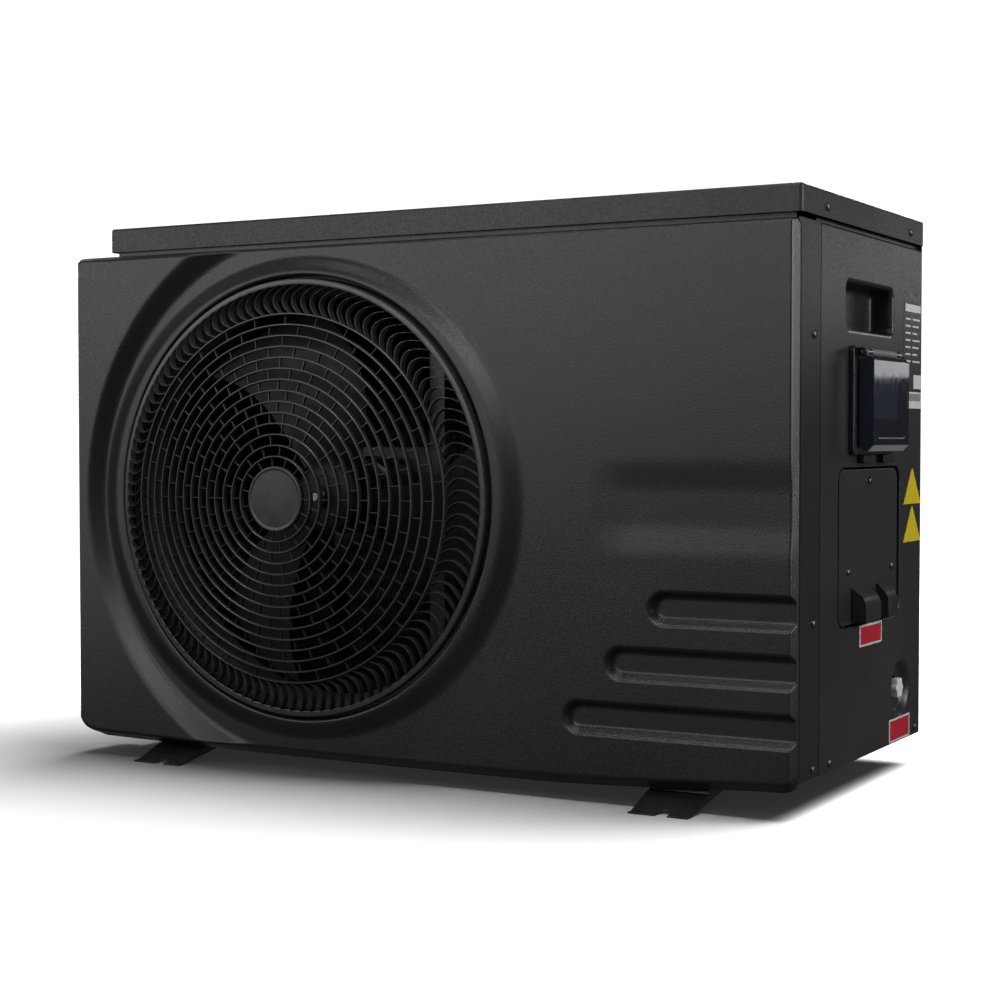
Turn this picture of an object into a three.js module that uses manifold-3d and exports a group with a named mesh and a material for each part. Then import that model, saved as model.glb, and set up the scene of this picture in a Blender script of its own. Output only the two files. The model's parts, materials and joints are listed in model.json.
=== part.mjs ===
// Pool heat pump: a sheet-steel cabinet with a moulded front panel, a domed fan grille and,
// inside, an axial fan, an L-shaped coil, a compressor and a titanium-in-PVC water exchanger.
// Millimetres, +Z up. Cabinet coordinates: x runs right from the lid's left end, y runs back from
// the lid's front face, z runs up from the bottom edge of the side panels.

import * as THREE from 'three';
import { mergeVertices } from 'three/addons/utils/BufferGeometryUtils.js';
import Module from 'manifold-3d';

const wasm = await Module();
wasm.setup();

// ---------------------------------------------------------------- driving dimensions

const WIDTH = 930;            // lid, left to right
const DEPTH = 426;            // lid, front to back
const HEIGHT = 631;           // side panel bottom edge to lid top
const FOOT_HEIGHT = 37;       // floor to side panel bottom edge
const SHEET = 1.2;            // sheet-steel thickness
const PLASTIC = 3;            // moulded wall thickness
const GAP = 0.3;              // clearance between pieces that touch

const LID_SKIRT = 30;
const LID_BOTTOM = HEIGHT - LID_SKIRT;
const WALL_LEFT = SHEET + GAP;             // outer face of the left side panel
const WALL_RIGHT = WIDTH - SHEET - GAP;    // outer face of the right side panel
const WALL_BACK = DEPTH - SHEET - GAP;     // outer face of the rear panel
const PANEL_TOP = LID_BOTTOM + 22;         // side panels reach up inside the lid
const SHOULDER = LID_BOTTOM - 5;           // top of the right wall's outer face, just below the lid

const FRONT_LEFT = -31;       // moulded front panel, left edge
const FRONT_TOP = 594.5;
const FRONT_CHIN = -20.5;     // lowest line of the front panel
const WRAP_BACK = 61.4;       // where the front panel's side wraps end
const BASE_PLANE = -3;        // y of the front panel's corner edges
const FACE_PLANE = -15;       // y of its main face
const CORNER_PLANE = -31;     // y of the raised left corner fields
const RING_PLANE = -25;       // y of the ring round the fan

const FAN_X = 306;
const FAN_Z = 293.5;
const OPENING_RADIUS = 265;
const GRILLE_RADIUS = 260.5;
const GRILLE_RIM_Y = -29;
const GRILLE_HUB_Y = -70;
const GRILLE_HUB_RADIUS = 38.5;
const GRILLE_DOME_RADIUS = 218;
const GRILLE_DOME_Y = -48;
const BELL_RADIUS = 246;      // the shroud's throat round the blades
const BLADE_RADIUS = 232;
const BLADE_TURN = Math.PI * (5 / 9);      // where the first blade points, from +x towards +z
const SHAFT_RADIUS = 5;
const MOTOR_FRONT = 104;
const MOTOR_BACK = 178;

const PARTITION_X = 640;
const FLOOR_Z = 3;            // top of the base pan's sheet
const RAIL_TOP = FLOOR_Z - SHEET - GAP;
const RAIL_WIDTH = 70;
const RAIL_FRONT = -50;       // toes of the feet, front and back
const RAIL_BACK = DEPTH + 36;

// Rectangles on the right side: y limits, then z limits.
const HANDLE = [145, 309, 486, 538];
const ACCESS = [121, 340, 154, 331];
const SCREEN = [186, 270, 386, 440];
const DRAIN = { y: 348, z: 64, recess: 35, bore: 14 };
const HOODS = [
  { name: 'cable_hood_large', y0: 169, y1: 221, reach: 18 },
  { name: 'cable_hood_small', y0: 258, y1: 292, reach: 15 },
];
const HINGE = { x: WIDTH + 12, z: 461, radius: 2.5 };
const CONTROLLER = { y0: 152, y1: 302, z0: 346, z1: 468, back: WALL_RIGHT + GAP };
const BODY = { y0: 168, y1: 288, z0: 358, z1: 450, front: WIDTH + 17 };

const COMPRESSOR = { x: 742, y: 150, radius: 60, bottom: 36, top: 300 };
const ACCUMULATOR = { x: 858, y: 120, radius: 32 };
const VALVE = { x: 715, y: 205, z: 400 };
const EXPANSION = { x: 690, y: 330 };
const EXCHANGER = { x: 800, y: 312, radius: 66, bottom: 30, top: 448 };
const WATER_PORTS = { inlet: 130, outlet: 400 };     // heights of the two ports on the exchanger's axis
const NOZZLE_END = WALL_BACK + 14;

// ---------------------------------------------------------------- small geometry tools

const finish = {
  painted: [0x2b2a2a, 0.6, 0.2],
  lidPaint: [0x333130, 0.55, 0.2],
  moulded: [0x292828, 0.62, 0],
  satin: [0x151616, 0.4, 0],
  darkGloss: [0x10131c, 0.12, 0],
  rubber: [0x181818, 0.9, 0],
  galvanised: [0x9a9c9c, 0.45, 0.9],
  fins: [0x8d8f90, 0.5, 0.9],
  copper: [0xb06a43, 0.35, 1],
  brass: [0xb5955a, 0.35, 1],
  whitePvc: [0xe9e9e6, 0.45, 0],
  greyPvc: [0x6b6f72, 0.5, 0],
  board: [0x1f5a35, 0.5, 0],
  screw: [0x55565a, 0.35, 1],
  glass: [0x1c2233, 0.1, 0],
};

const unit = new THREE.Group();

function add(name, geometry, look) {
  const [color, roughness, metalness] = finish[look];
  const mesh = new THREE.Mesh(geometry, new THREE.MeshStandardMaterial({ color, roughness, metalness }));
  mesh.name = name;
  unit.add(mesh);
  return mesh;
}

function toManifold(geometry) {
  const bare = geometry.clone();
  bare.deleteAttribute('normal');
  bare.deleteAttribute('uv');
  const merged = mergeVertices(bare, 1e-3);
  const vertProperties = Float32Array.from(merged.attributes.position.array);
  const triVerts = Uint32Array.from(merged.index.array);
  return new wasm.Manifold(new wasm.Mesh({ numProp: 3, vertProperties, triVerts }));
}

function toGeometry(manifold) {
  const { vertProperties, triVerts } = manifold.getMesh();
  const geometry = new THREE.BufferGeometry();
  geometry.setAttribute('position', new THREE.BufferAttribute(vertProperties, 3));
  geometry.setIndex(new THREE.BufferAttribute(triVerts, 1));
  const faceted = geometry.toNonIndexed();
  faceted.computeVertexNormals();
  return faceted;
}

const joined = (...geometries) => geometries.map(toManifold).reduce((whole, piece) => whole.add(piece));
const fused = (...geometries) => toGeometry(joined(...geometries));
const cut = (geometry, ...tools) => toGeometry(toManifold(geometry).subtract(joined(...tools)));

function box(x0, x1, y0, y1, z0, z1) {
  const geometry = new THREE.BoxGeometry(x1 - x0, y1 - y0, z1 - z0);
  return geometry.translate((x0 + x1) / 2, (y0 + y1) / 2, (z0 + z1) / 2);
}

// Basis matrices that carry a flat outline's (u, v) plane and its thickness onto two cabinet axes.
const ONTO = {
  x: new THREE.Matrix4().set(0, 0, 1, 0, 1, 0, 0, 0, 0, 1, 0, 0, 0, 0, 0, 1),
  y: new THREE.Matrix4().set(1, 0, 0, 0, 0, 0, -1, 0, 0, 1, 0, 0, 0, 0, 0, 1),
  z: new THREE.Matrix4(),
};

// A flat outline given thickness along one axis. Outlines are (y, z) for x, (x, z) for y, (x, y) for z.
function plate(axis, outline, from, to, curveSegments = 2) {
  const depth = to - from;
  const geometry = new THREE.ExtrudeGeometry(outline, { depth, bevelEnabled: false, curveSegments });
  geometry.applyMatrix4(ONTO[axis]);
  if (axis === 'x') return geometry.translate(from, 0, 0);
  if (axis === 'y') return geometry.translate(0, to, 0);
  return geometry.translate(0, 0, from);
}

function roundedRect(u0, u1, v0, v1, radius) {
  const shape = new THREE.Shape();
  shape.moveTo(u0 + radius, v0);
  shape.lineTo(u1 - radius, v0);
  shape.absarc(u1 - radius, v0 + radius, radius, -Math.PI / 2, 0);
  shape.lineTo(u1, v1 - radius);
  shape.absarc(u1 - radius, v1 - radius, radius, 0, Math.PI / 2);
  shape.lineTo(u0 + radius, v1);
  shape.absarc(u0 + radius, v1 - radius, radius, Math.PI / 2, Math.PI);
  shape.lineTo(u0, v0 + radius);
  shape.absarc(u0 + radius, v0 + radius, radius, Math.PI, Math.PI * 1.5);
  return shape;
}

function polygon(points) {
  return new THREE.Shape(points.map(([u, v]) => new THREE.Vector2(u, v)));
}

// A round bar along one axis.
function rod(axis, radius, from, to, a, b, sides = 12) {
  const geometry = new THREE.CylinderGeometry(radius, radius, to - from, sides);
  const middle = (from + to) / 2;
  if (axis === 'x') return geometry.rotateZ(-Math.PI / 2).translate(middle, a, b);
  if (axis === 'y') return geometry.translate(a, middle, b);
  return geometry.rotateX(Math.PI / 2).translate(a, b, middle);
}

// A turned part: profile points are (radius, distance along the axis).
function turned(axis, profile, a, b, sides = 16) {
  const geometry = new THREE.LatheGeometry(profile.map(([r, h]) => new THREE.Vector2(r, h)), sides);
  if (axis === 'x') return geometry.rotateZ(-Math.PI / 2).translate(0, a, b);
  if (axis === 'y') return geometry.translate(a, 0, b);
  return geometry.rotateX(Math.PI / 2).translate(a, b, 0);
}

function ringProfile(inner, outer, from, to) {
  return [[inner, from], [outer, from], [outer, to], [inner, to], [inner, from]];
}

// A solid between two outlines with equally many points, at two depths: outlines are (x, z) points.
function loft(rear, rearY, front, frontY) {
  const count = rear.length;
  const positions = [];
  rear.forEach((point) => positions.push(point.x, rearY, point.y));
  front.forEach((point) => positions.push(point.x, frontY, point.y));
  const index = [];
  for (const [a, b, c] of THREE.ShapeUtils.triangulateShape(rear, [])) index.push(c, b, a);
  for (const [a, b, c] of THREE.ShapeUtils.triangulateShape(front, [])) {
    index.push(count + a, count + b, count + c);
  }
  for (let i = 0; i < count; i += 1) {
    const next = (i + 1) % count;
    index.push(i, next, count + i, next, count + next, count + i);
  }
  const geometry = new THREE.BufferGeometry();
  geometry.setAttribute('position', new THREE.Float32BufferAttribute(positions, 3));
  geometry.setIndex(index);
  return geometry;
}

function ellipsePoints(centreX, radiusX, radiusZ, count = 40) {
  return Array.from({ length: count }, (_, i) => {
    const angle = (i / count) * Math.PI * 2;
    return new THREE.Vector2(centreX + radiusX * Math.cos(angle), FAN_Z + radiusZ * Math.sin(angle));
  });
}

// A curved sheet: surface(u, v) gives its middle, and offset(u, v) is the half thickness along u x v.
function sheetSolid(surface, offset, columns, rows) {
  const positions = [];
  const index = [];
  const stride = (columns + 1) * (rows + 1);
  for (const side of [1, -1]) {
    for (let j = 0; j <= rows; j += 1) {
      for (let i = 0; i <= columns; i += 1) {
        const point = surface(i / columns, j / rows).addScaledVector(offset(i / columns, j / rows), side);
        positions.push(point.x, point.y, point.z);
      }
    }
  }
  const at = (i, j, back) => j * (columns + 1) + i + (back ? stride : 0);
  const quad = (a, b, c, d) => index.push(a, b, c, a, c, d);
  for (let j = 0; j < rows; j += 1) {
    for (let i = 0; i < columns; i += 1) {
      quad(at(i, j), at(i + 1, j), at(i + 1, j + 1), at(i, j + 1));
      quad(at(i, j, true), at(i, j + 1, true), at(i + 1, j + 1, true), at(i + 1, j, true));
    }
  }
  for (let i = 0; i < columns; i += 1) {
    quad(at(i, 0), at(i, 0, true), at(i + 1, 0, true), at(i + 1, 0));
    quad(at(i, rows), at(i + 1, rows), at(i + 1, rows, true), at(i, rows, true));
  }
  for (let j = 0; j < rows; j += 1) {
    quad(at(0, j), at(0, j + 1), at(0, j + 1, true), at(0, j, true));
    quad(at(columns, j), at(columns, j, true), at(columns, j + 1, true), at(columns, j + 1));
  }
  const geometry = new THREE.BufferGeometry();
  geometry.setAttribute('position', new THREE.Float32BufferAttribute(positions, 3));
  geometry.setIndex(index);
  return geometry;
}

// A solid tube that follows a smooth path through the given points.
function bentRod(points, radius, steps = 12, quarterSides = 2) {
  const through = points.map(([x, y, z]) => new THREE.Vector3(x, y, z));
  const path = new THREE.CatmullRomCurve3(through, false, 'catmullrom', 0.3);
  const section = new THREE.Shape();
  section.absarc(0, 0, radius, 0, Math.PI * 2);
  return new THREE.ExtrudeGeometry(section, { steps, extrudePath: path, curveSegments: quarterSides * 2 });
}

// ---------------------------------------------------------------- cabinet

function lid() {
  const outer = plate('z', roundedRect(0, WIDTH, 0, DEPTH, 5), LID_BOTTOM, HEIGHT);
  const inside = roundedRect(SHEET, WIDTH - SHEET, SHEET, DEPTH - SHEET, 1);
  const inner = plate('z', inside, LID_BOTTOM - 1, HEIGHT - SHEET);
  add('lid', cut(outer, inner), 'lidPaint');
}

function basePan() {
  const left = WALL_LEFT + SHEET + GAP;
  const right = WALL_RIGHT - PLASTIC - GAP;
  const front = 12;
  const back = WALL_BACK - SHEET - GAP;
  const outer = box(left, right, front, back, FLOOR_Z - SHEET, FLOOR_Z + 22);
  const inner = box(left + SHEET, right - SHEET, front + SHEET, back - SHEET, FLOOR_Z, FLOOR_Z + 23);
  add('base_pan', cut(outer, inner), 'painted');
}

// A folded sheet's side view, with mitred folds: the path is its upper face.
function folded(path, thick) {
  const normals = path.slice(1).map(([u, v], i) => {
    const along = new THREE.Vector2(u - path[i][0], v - path[i][1]).normalize();
    return new THREE.Vector2(along.y, -along.x);
  });
  const under = path.map(([u, v], i) => {
    const before = normals[Math.max(i - 1, 0)];
    const after = normals[Math.min(i, normals.length - 1)];
    const reach = thick / (1 + before.dot(after));
    return [u + (before.x + after.x) * reach, v + (before.y + after.y) * reach];
  });
  return polygon([...path, ...under.reverse()]);
}

// One stamped rail under the cabinet. Each end slopes down to the floor as a slotted foot, and a
// flange down each side stiffens it.
function footRail(name, left) {
  const right = left + RAIL_WIDTH;
  const thick = 2;
  const toe = 9;                       // depth of the flat that stands on the floor
  const floor = -FOOT_HEIGHT;
  const hidden = FRONT_CHIN - 0.8;     // the slope passes this close below the front panel
  const upper = [
    [RAIL_FRONT, floor + thick], [RAIL_FRONT + toe, floor + thick], [-4, hidden], [6, hidden + 2],
    [14, RAIL_TOP], [DEPTH - 12, RAIL_TOP], [DEPTH - 4, hidden + 2],
    [RAIL_BACK - toe, floor + thick], [RAIL_BACK, floor + thick],
  ];
  const lower = [
    [RAIL_BACK, floor], [RAIL_BACK - toe, floor], [DEPTH - 50, hidden],
    [50, hidden], [RAIL_FRONT + toe, floor], [RAIL_FRONT, floor],
  ];
  const flange = polygon([...upper, ...lower]);
  const body = joined(
    plate('x', folded(upper, thick), left, right),
    plate('x', flange, left, left + thick),
    plate('x', flange, right - thick, right),
  );
  const slotX = left + 39;
  const slotRadius = 7;
  const low = floor - 1;
  const slots = [[RAIL_FRONT - 1, RAIL_FRONT + 9], [RAIL_BACK - 9, RAIL_BACK + 1]].map(([y0, y1]) => joined(
    box(slotX - slotRadius, slotX + slotRadius, y0, y1, low, hidden),
    rod('z', slotRadius, low, hidden, slotX, y0 < 0 ? y1 : y0, 16),
  ));
  const pilot = rod('z', 3, low, hidden, left + 18, RAIL_FRONT + 9, 12);
  const whole = slots.reduce((rest, slot) => rest.subtract(slot), body).subtract(toManifold(pilot));
  add(name, toGeometry(whole), 'painted');
}

// The front panel's outline in (x, z), moved in by its own amount on each side.
function frontOutline({ left = 0, right = 0, top = 0, bottom = 0 }) {
  const x0 = FRONT_LEFT + left;
  const x1 = WALL_RIGHT - right;
  const z1 = FRONT_TOP - top;
  const chin = FRONT_CHIN + bottom;
  const shape = new THREE.Shape();
  shape.moveTo(x0, chin + 32);
  shape.quadraticCurveTo(x0, chin + 5, x0 + 27, chin + 4);
  shape.bezierCurveTo(120, chin + 2, 280, chin, 430, chin);
  shape.lineTo(600, chin);
  shape.bezierCurveTo(730, chin, 850, chin + 12, x1 - 16, chin + 12);
  shape.quadraticCurveTo(x1, chin + 13, x1, chin + 28);
  shape.lineTo(x1, z1 - 7);
  shape.quadraticCurveTo(x1, z1, x1 - 7, z1);
  shape.lineTo(x0 + 7, z1);
  shape.quadraticCurveTo(x0, z1, x0, z1 - 7);
  return shape.getPoints(4);
}

// The front panel as a full block. One block is its outside; the same block, smaller by the wall all
// round, is its hollow.
function frontBlock(wall) {
  const edge = { left: wall, right: wall, top: wall, bottom: wall };
  const face = { left: wall + 1, right: wall + 5, top: wall + 4.5, bottom: wall + 9 };
  const corner = { left: wall + 2, right: wall + 5, top: wall + 8, bottom: wall + 9 };
  const back = wall > 0 ? PLASTIC + 1 : PLASTIC;
  const facePlane = FACE_PLANE + wall;
  const cornerPlane = CORNER_PLANE + wall;
  const slab = joined(
    loft(frontOutline(edge), back, frontOutline(edge), BASE_PLANE + wall),
    loft(frontOutline(edge), BASE_PLANE + wall, frontOutline(face), facePlane),
  );
  const dish = loft(
    ellipsePoints(318, 316 + wall, 316 + wall, 48), facePlane,
    ellipsePoints(334, 349 + wall, 349 + wall, 48), cornerPlane - 1.5,
  );
  const corners = toManifold(loft(frontOutline(face), facePlane + 1, frontOutline(corner), cornerPlane))
    .subtract(toManifold(dish))
    .intersect(toManifold(box(-100, 320, -60, 60, -60, 700)));
  const ring = loft(
    ellipsePoints(FAN_X, 300 - wall, 286.5 - wall), facePlane + 1,
    ellipsePoints(FAN_X, 281 - wall, 272 - wall), RING_PLANE + wall,
  );
  return slab.add(corners).add(toManifold(ring)).subtract(gripGrooves(wall));
}

// Three open-ended grooves, low on the right, each longer than the one above it.
function gripGrooves(wall) {
  const grooves = [0, 1, 2].map((row) => {
    const centreZ = 181 - 62 * row;
    const left = 761 - 51.5 * row;
    const section = (grow) => {
      const half = 18.5 + grow;
      const shape = new THREE.Shape();
      shape.moveTo(WIDTH + 20, centreZ - half);
      shape.lineTo(WIDTH + 20, centreZ + half);
      shape.absarc(left + 18.5, centreZ, half, Math.PI / 2, Math.PI * 1.5);
      return shape.getPoints(5);
    };
    return loft(section(wall - 9), -5 + wall, section(wall + 1), FACE_PLANE + wall - 1);
  });
  return joined(...grooves);
}

function frontPanel() {
  const shell = frontBlock(0).subtract(frontBlock(PLASTIC));
  const lipProfile = ringProfile(OPENING_RADIUS, OPENING_RADIUS + PLASTIC, RING_PLANE + 1, -6);
  const lip = turned('y', lipProfile, FAN_X, FAN_Z, 40);
  const ledgeBottom = FRONT_TOP - PLASTIC;
  const neckFront = 6;
  const neckBack = neckFront + PLASTIC;
  const neck = box(WALL_LEFT + 8, WALL_RIGHT - 8, neckFront, neckBack, ledgeBottom, PANEL_TOP);
  const ledge = box(FRONT_LEFT + 8, WALL_RIGHT - 8, 1, neckBack, ledgeBottom, FRONT_TOP);
  const returnBottom = 14;
  const returnTop = FRONT_TOP - 7;
  const wrapFront = BASE_PLANE + 4;
  const rightWrap = box(WALL_RIGHT - PLASTIC, WALL_RIGHT, wrapFront, WRAP_BACK, 1, SHOULDER);
  const leftWrap = box(FRONT_LEFT, FRONT_LEFT + PLASTIC, wrapFront, WRAP_BACK, returnBottom, returnTop);
  const pocket = (z) => box(FRONT_LEFT, 1, 1, WRAP_BACK, z, z + PLASTIC);
  const pockets = [returnBottom, returnTop - PLASTIC].map(pocket);
  const returnWall = box(FRONT_LEFT, 1, WRAP_BACK - PLASTIC, WRAP_BACK, returnBottom, returnTop);
  const opening = rod('y', OPENING_RADIUS, -60, 20, FAN_X, FAN_Z, 40);
  const whole = shell
    .subtract(toManifold(opening))
    .add(joined(lip, neck, ledge, rightWrap, leftWrap, ...pockets, returnWall));
  add('front_panel', toGeometry(whole), 'moulded');
}

// The right side panel steps inward at its shoulder, and a narrower neck goes up inside the lid.
function rightSidePanel() {
  const inner = WALL_RIGHT - SHEET;
  const front = WRAP_BACK + 0.6;
  const back = WALL_BACK - SHEET - GAP;
  const step = 6;
  const skin = plate('x', roundedRect(front, back, 0.6, SHOULDER, 1), inner, WALL_RIGHT);
  const shelf = box(inner - step, WALL_RIGHT, front + 1, back - 1, SHOULDER - 1 - SHEET, SHOULDER - 1);
  const neck = box(inner - step, WALL_RIGHT - step, front, back, SHOULDER - 1 - SHEET, PANEL_TOP);
  const flange = box(inner - 10, inner, back - SHEET, back, FLOOR_Z + 24, PANEL_TOP);
  const through = (outline) => plate('x', outline, inner - 1, WALL_RIGHT + 1);
  const [y0, y1, z0, z1] = ACCESS;
  const rim = 3;
  const openings = joined(
    through(roundedRect(...HANDLE, 9)),
    through(roundedRect(y0 + rim, y1 - rim, z0 + rim, z1 - rim, 12)),
    rod('x', DRAIN.recess, inner - 1, WALL_RIGHT + 1, DRAIN.y, DRAIN.z, 20),
    rod('x', 12, inner - 1, WALL_RIGHT + 1, 236, 405, 16),
  );
  const floor = WALL_RIGHT - 9.8;
  const brim = DRAIN.recess + 0.4;
  const recess = turned('x', [
    [DRAIN.bore, floor - SHEET], [brim - 8.4, floor - SHEET], [brim, WALL_RIGHT - SHEET], [brim, WALL_RIGHT],
    [brim - 1, WALL_RIGHT], [brim - 9.4, floor], [DRAIN.bore, floor], [DRAIN.bore, floor - SHEET],
  ], DRAIN.y, DRAIN.z, 20);
  const whole = joined(skin, shelf, neck, flange).subtract(openings).add(toManifold(recess));
  add('right_side_panel', toGeometry(whole), 'painted');
}

function handleCup() {
  const [y0, y1, z0, z1] = HANDLE;
  const mouth = WALL_RIGHT - SHEET - GAP;
  const depth = 30;
  const outer = plate('x', roundedRect(y0 - 3, y1 + 3, z0 - 3, z1 + 3, 11), mouth - depth, mouth);
  const inside = roundedRect(y0 - 0.5, y1 + 0.5, z0 - 0.5, z1 + 0.5, 9);
  const inner = plate('x', inside, mouth - depth + 2.5, mouth + 1);
  add('handle_cup', cut(outer, inner), 'moulded');
}

function leftSidePanel() {
  const inner = WALL_LEFT + SHEET;
  const skin = box(WALL_LEFT, inner, WRAP_BACK + 0.6, WALL_BACK - SHEET - GAP, 0.6, PANEL_TOP);
  const slots = [];
  for (let column = 0; column < 3; column += 1) {
    for (let row = 0; row < 8; row += 1) {
      const y = 120 + 90 * column;
      const z = 60 + 62 * row;
      slots.push(box(WALL_LEFT - 1, inner + 1, y, y + 76, z, z + 46));
    }
  }
  add('left_side_panel', cut(skin, ...slots), 'painted');
}

function rearGuard() {
  const inner = WALL_BACK - SHEET;
  const skin = box(WALL_LEFT, PARTITION_X, inner, WALL_BACK, 0.6, PANEL_TOP);
  const windows = [];
  for (let column = 0; column < 6; column += 1) {
    for (let row = 0; row < 8; row += 1) {
      const x = 34 + 98 * column;
      const z = 44 + 67 * row;
      windows.push(box(x, x + 86, inner - 1, WALL_BACK + 1, z, z + 53));
    }
  }
  add('rear_guard', cut(skin, ...windows), 'painted');
}

function rearPanel() {
  const inner = WALL_BACK - SHEET;
  const outline = roundedRect(PARTITION_X + 1, WALL_RIGHT - 0.3, 0.6, PANEL_TOP, 1);
  for (const z of Object.values(WATER_PORTS)) {
    const hole = new THREE.Path();
    hole.absarc(EXCHANGER.x, z, 34, 0, Math.PI * 2, true);
    outline.holes.push(hole);
  }
  add('rear_panel', plate('y', outline, inner, WALL_BACK, 10), 'painted');
}

function partition() {
  const bottom = FLOOR_Z + GAP;
  const skin = box(PARTITION_X, PARTITION_X + SHEET, 16, 380, bottom, 590);
  const foot = box(PARTITION_X, PARTITION_X + 14, 16, 380, bottom, bottom + SHEET);
  add('partition_plate', fused(skin, foot), 'galvanised');
}

// ---------------------------------------------------------------- fan and grille

// y of the grille's front surface: a shallow dome, then a rounded shoulder down to the rim.
function domeY(radius) {
  if (radius <= GRILLE_DOME_RADIUS) {
    const t = (radius - GRILLE_HUB_RADIUS) / (GRILLE_DOME_RADIUS - GRILLE_HUB_RADIUS);
    return GRILLE_HUB_Y + (GRILLE_DOME_Y - GRILLE_HUB_Y) * t * t;
  }
  const t = (radius - GRILLE_DOME_RADIUS) / (GRILLE_RADIUS - 7 - GRILLE_DOME_RADIUS);
  return GRILLE_DOME_Y + (GRILLE_RIM_Y - GRILLE_DOME_Y) * (1 - Math.sqrt(Math.max(0, 1 - t * t)));
}

function fanGrille() {
  const rimInner = GRILLE_RADIUS - 7;
  const round = (profile) => turned('y', profile, FAN_X, FAN_Z, 28);
  const rim = round(ringProfile(rimInner, GRILLE_RADIUS, GRILLE_RIM_Y, GRILLE_RIM_Y + 12));
  const hub = rod('y', GRILLE_HUB_RADIUS, GRILLE_HUB_Y, GRILLE_HUB_Y + 5, FAN_X, FAN_Z, 28);
  const rings = [80, 124, 168, GRILLE_DOME_RADIUS].map((radius) => {
    const y = domeY(radius);
    return round(ringProfile(radius - 3, radius, y + 0.2, y + 6));
  });
  const ribStart = GRILLE_HUB_RADIUS - 4;
  const ribEnd = GRILLE_RADIUS - 3;
  const ribs = [0, 1, 2, 3, 4, 5, 6, 7].map((i) => {
    const angle = (i / 8) * Math.PI * 2;
    const along = new THREE.Vector3(Math.cos(angle), 0, Math.sin(angle));
    const across = new THREE.Vector3(-Math.sin(angle), 0, Math.cos(angle));
    const surface = (u, v) => {
      const radius = ribStart + (ribEnd - ribStart) * v;
      const y = domeY(Math.min(radius, rimInner)) + 1 + 5 * u;
      return new THREE.Vector3(FAN_X, y, FAN_Z).addScaledVector(along, radius);
    };
    return sheetSolid(surface, () => across.clone().multiplyScalar(-1.2), 1, 5);
  });
  add('fan_grille', fused(rim, hub, ...rings, ...ribs), 'satin');
}

function fanShroud() {
  const board = box(8, 604, 6, 9, 6, 586);
  const hole = rod('y', BELL_RADIUS + 16, 0, 20, FAN_X, FAN_Z, 40);
  const wall = 3;
  const inner = BELL_RADIUS - wall;
  const bell = turned('y', [
    [BELL_RADIUS + 16, -5], [BELL_RADIUS + 19, -5], [BELL_RADIUS + 17, 6], [BELL_RADIUS + 10, 15],
    [BELL_RADIUS + 1, 22], [BELL_RADIUS, 62], [inner, 62], [inner, 20], [inner + 10, 12], [inner + 16, 5],
    [BELL_RADIUS + 16, -5],
  ], FAN_X, FAN_Z, 40);
  const whole = toManifold(board).subtract(toManifold(hole)).add(toManifold(bell));
  add('fan_shroud', toGeometry(whole), 'moulded');
}

// One swept, twisted blade, as a curved sheet that runs from the hub to the tip.
function fanBlade(turn) {
  const surface = (u, v) => {
    const radius = 40 + (BLADE_RADIUS - 40) * v;
    const chord = 0.95 - 0.25 * v;
    const angle = turn + 0.35 * v * v + chord * (u - 0.5);
    const pitch = 64 - 14 * v;
    const y = 62 + pitch * (0.5 - u);
    return new THREE.Vector3(FAN_X + radius * Math.cos(angle), y, FAN_Z + radius * Math.sin(angle));
  };
  return sheetSolid(surface, () => new THREE.Vector3(0, 1.6, 0), 4, 4);
}

function fan() {
  const boss = SHAFT_RADIUS + 9;
  const hub = turned('y', [
    [0, 30], [30, 31], [46, 38], [46, 92], [42, 92], [42, 42], [boss, 42], [boss, 92], [0, 92],
  ], FAN_X, FAN_Z, 24);
  const bore = rod('y', SHAFT_RADIUS + GAP, 20, 95, FAN_X, FAN_Z, 12);
  const blades = [0, 1, 2].map((i) => fanBlade(BLADE_TURN + (i * Math.PI * 2) / 3));
  const whole = joined(hub, ...blades).subtract(toManifold(bore));
  add('fan_blade', toGeometry(whole), 'satin');
  add('fan_shaft', rod('y', SHAFT_RADIUS, 12, MOTOR_FRONT + 30, FAN_X, FAN_Z, 24), 'galvanised');
  const nut = rod('y', 12, 20, 29.5, FAN_X, FAN_Z, 6);
  add('fan_nut', cut(nut, rod('y', SHAFT_RADIUS + GAP, 10, 40, FAN_X, FAN_Z)), 'galvanised');
}

function fanMotor() {
  const front = MOTOR_FRONT;
  const bore = SHAFT_RADIUS + 1;
  const can = turned('y', [
    [0, front + 32], [bore, front + 32], [bore, front], [20, front], [22, front + 10], [48, front + 14],
    [48, MOTOR_BACK - 8], [40, MOTOR_BACK], [0, MOTOR_BACK],
  ], FAN_X, FAN_Z, 24);
  add('fan_motor', can, 'galvanised');
}

function motorBracket() {
  const front = MOTOR_BACK + GAP;
  const post = (x) => fused(
    box(x, x + 22, front, front + 2, FLOOR_Z + GAP, 590),
    box(x, x + 2, front, front + 24, FLOOR_Z + GAP, 590),
  );
  const seat = box(FAN_X - 62, FAN_X + 62, front, front + 2, FAN_Z - 60, FAN_Z + 60);
  const brace = (z) => box(FAN_X - 84, FAN_X + 84, front, front + 2, z, z + 30);
  const posts = [post(FAN_X - 84), post(FAN_X + 62)];
  add('motor_bracket', fused(...posts, seat, brace(20), brace(540)), 'galvanised');
}

// ---------------------------------------------------------------- refrigeration circuit

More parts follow.
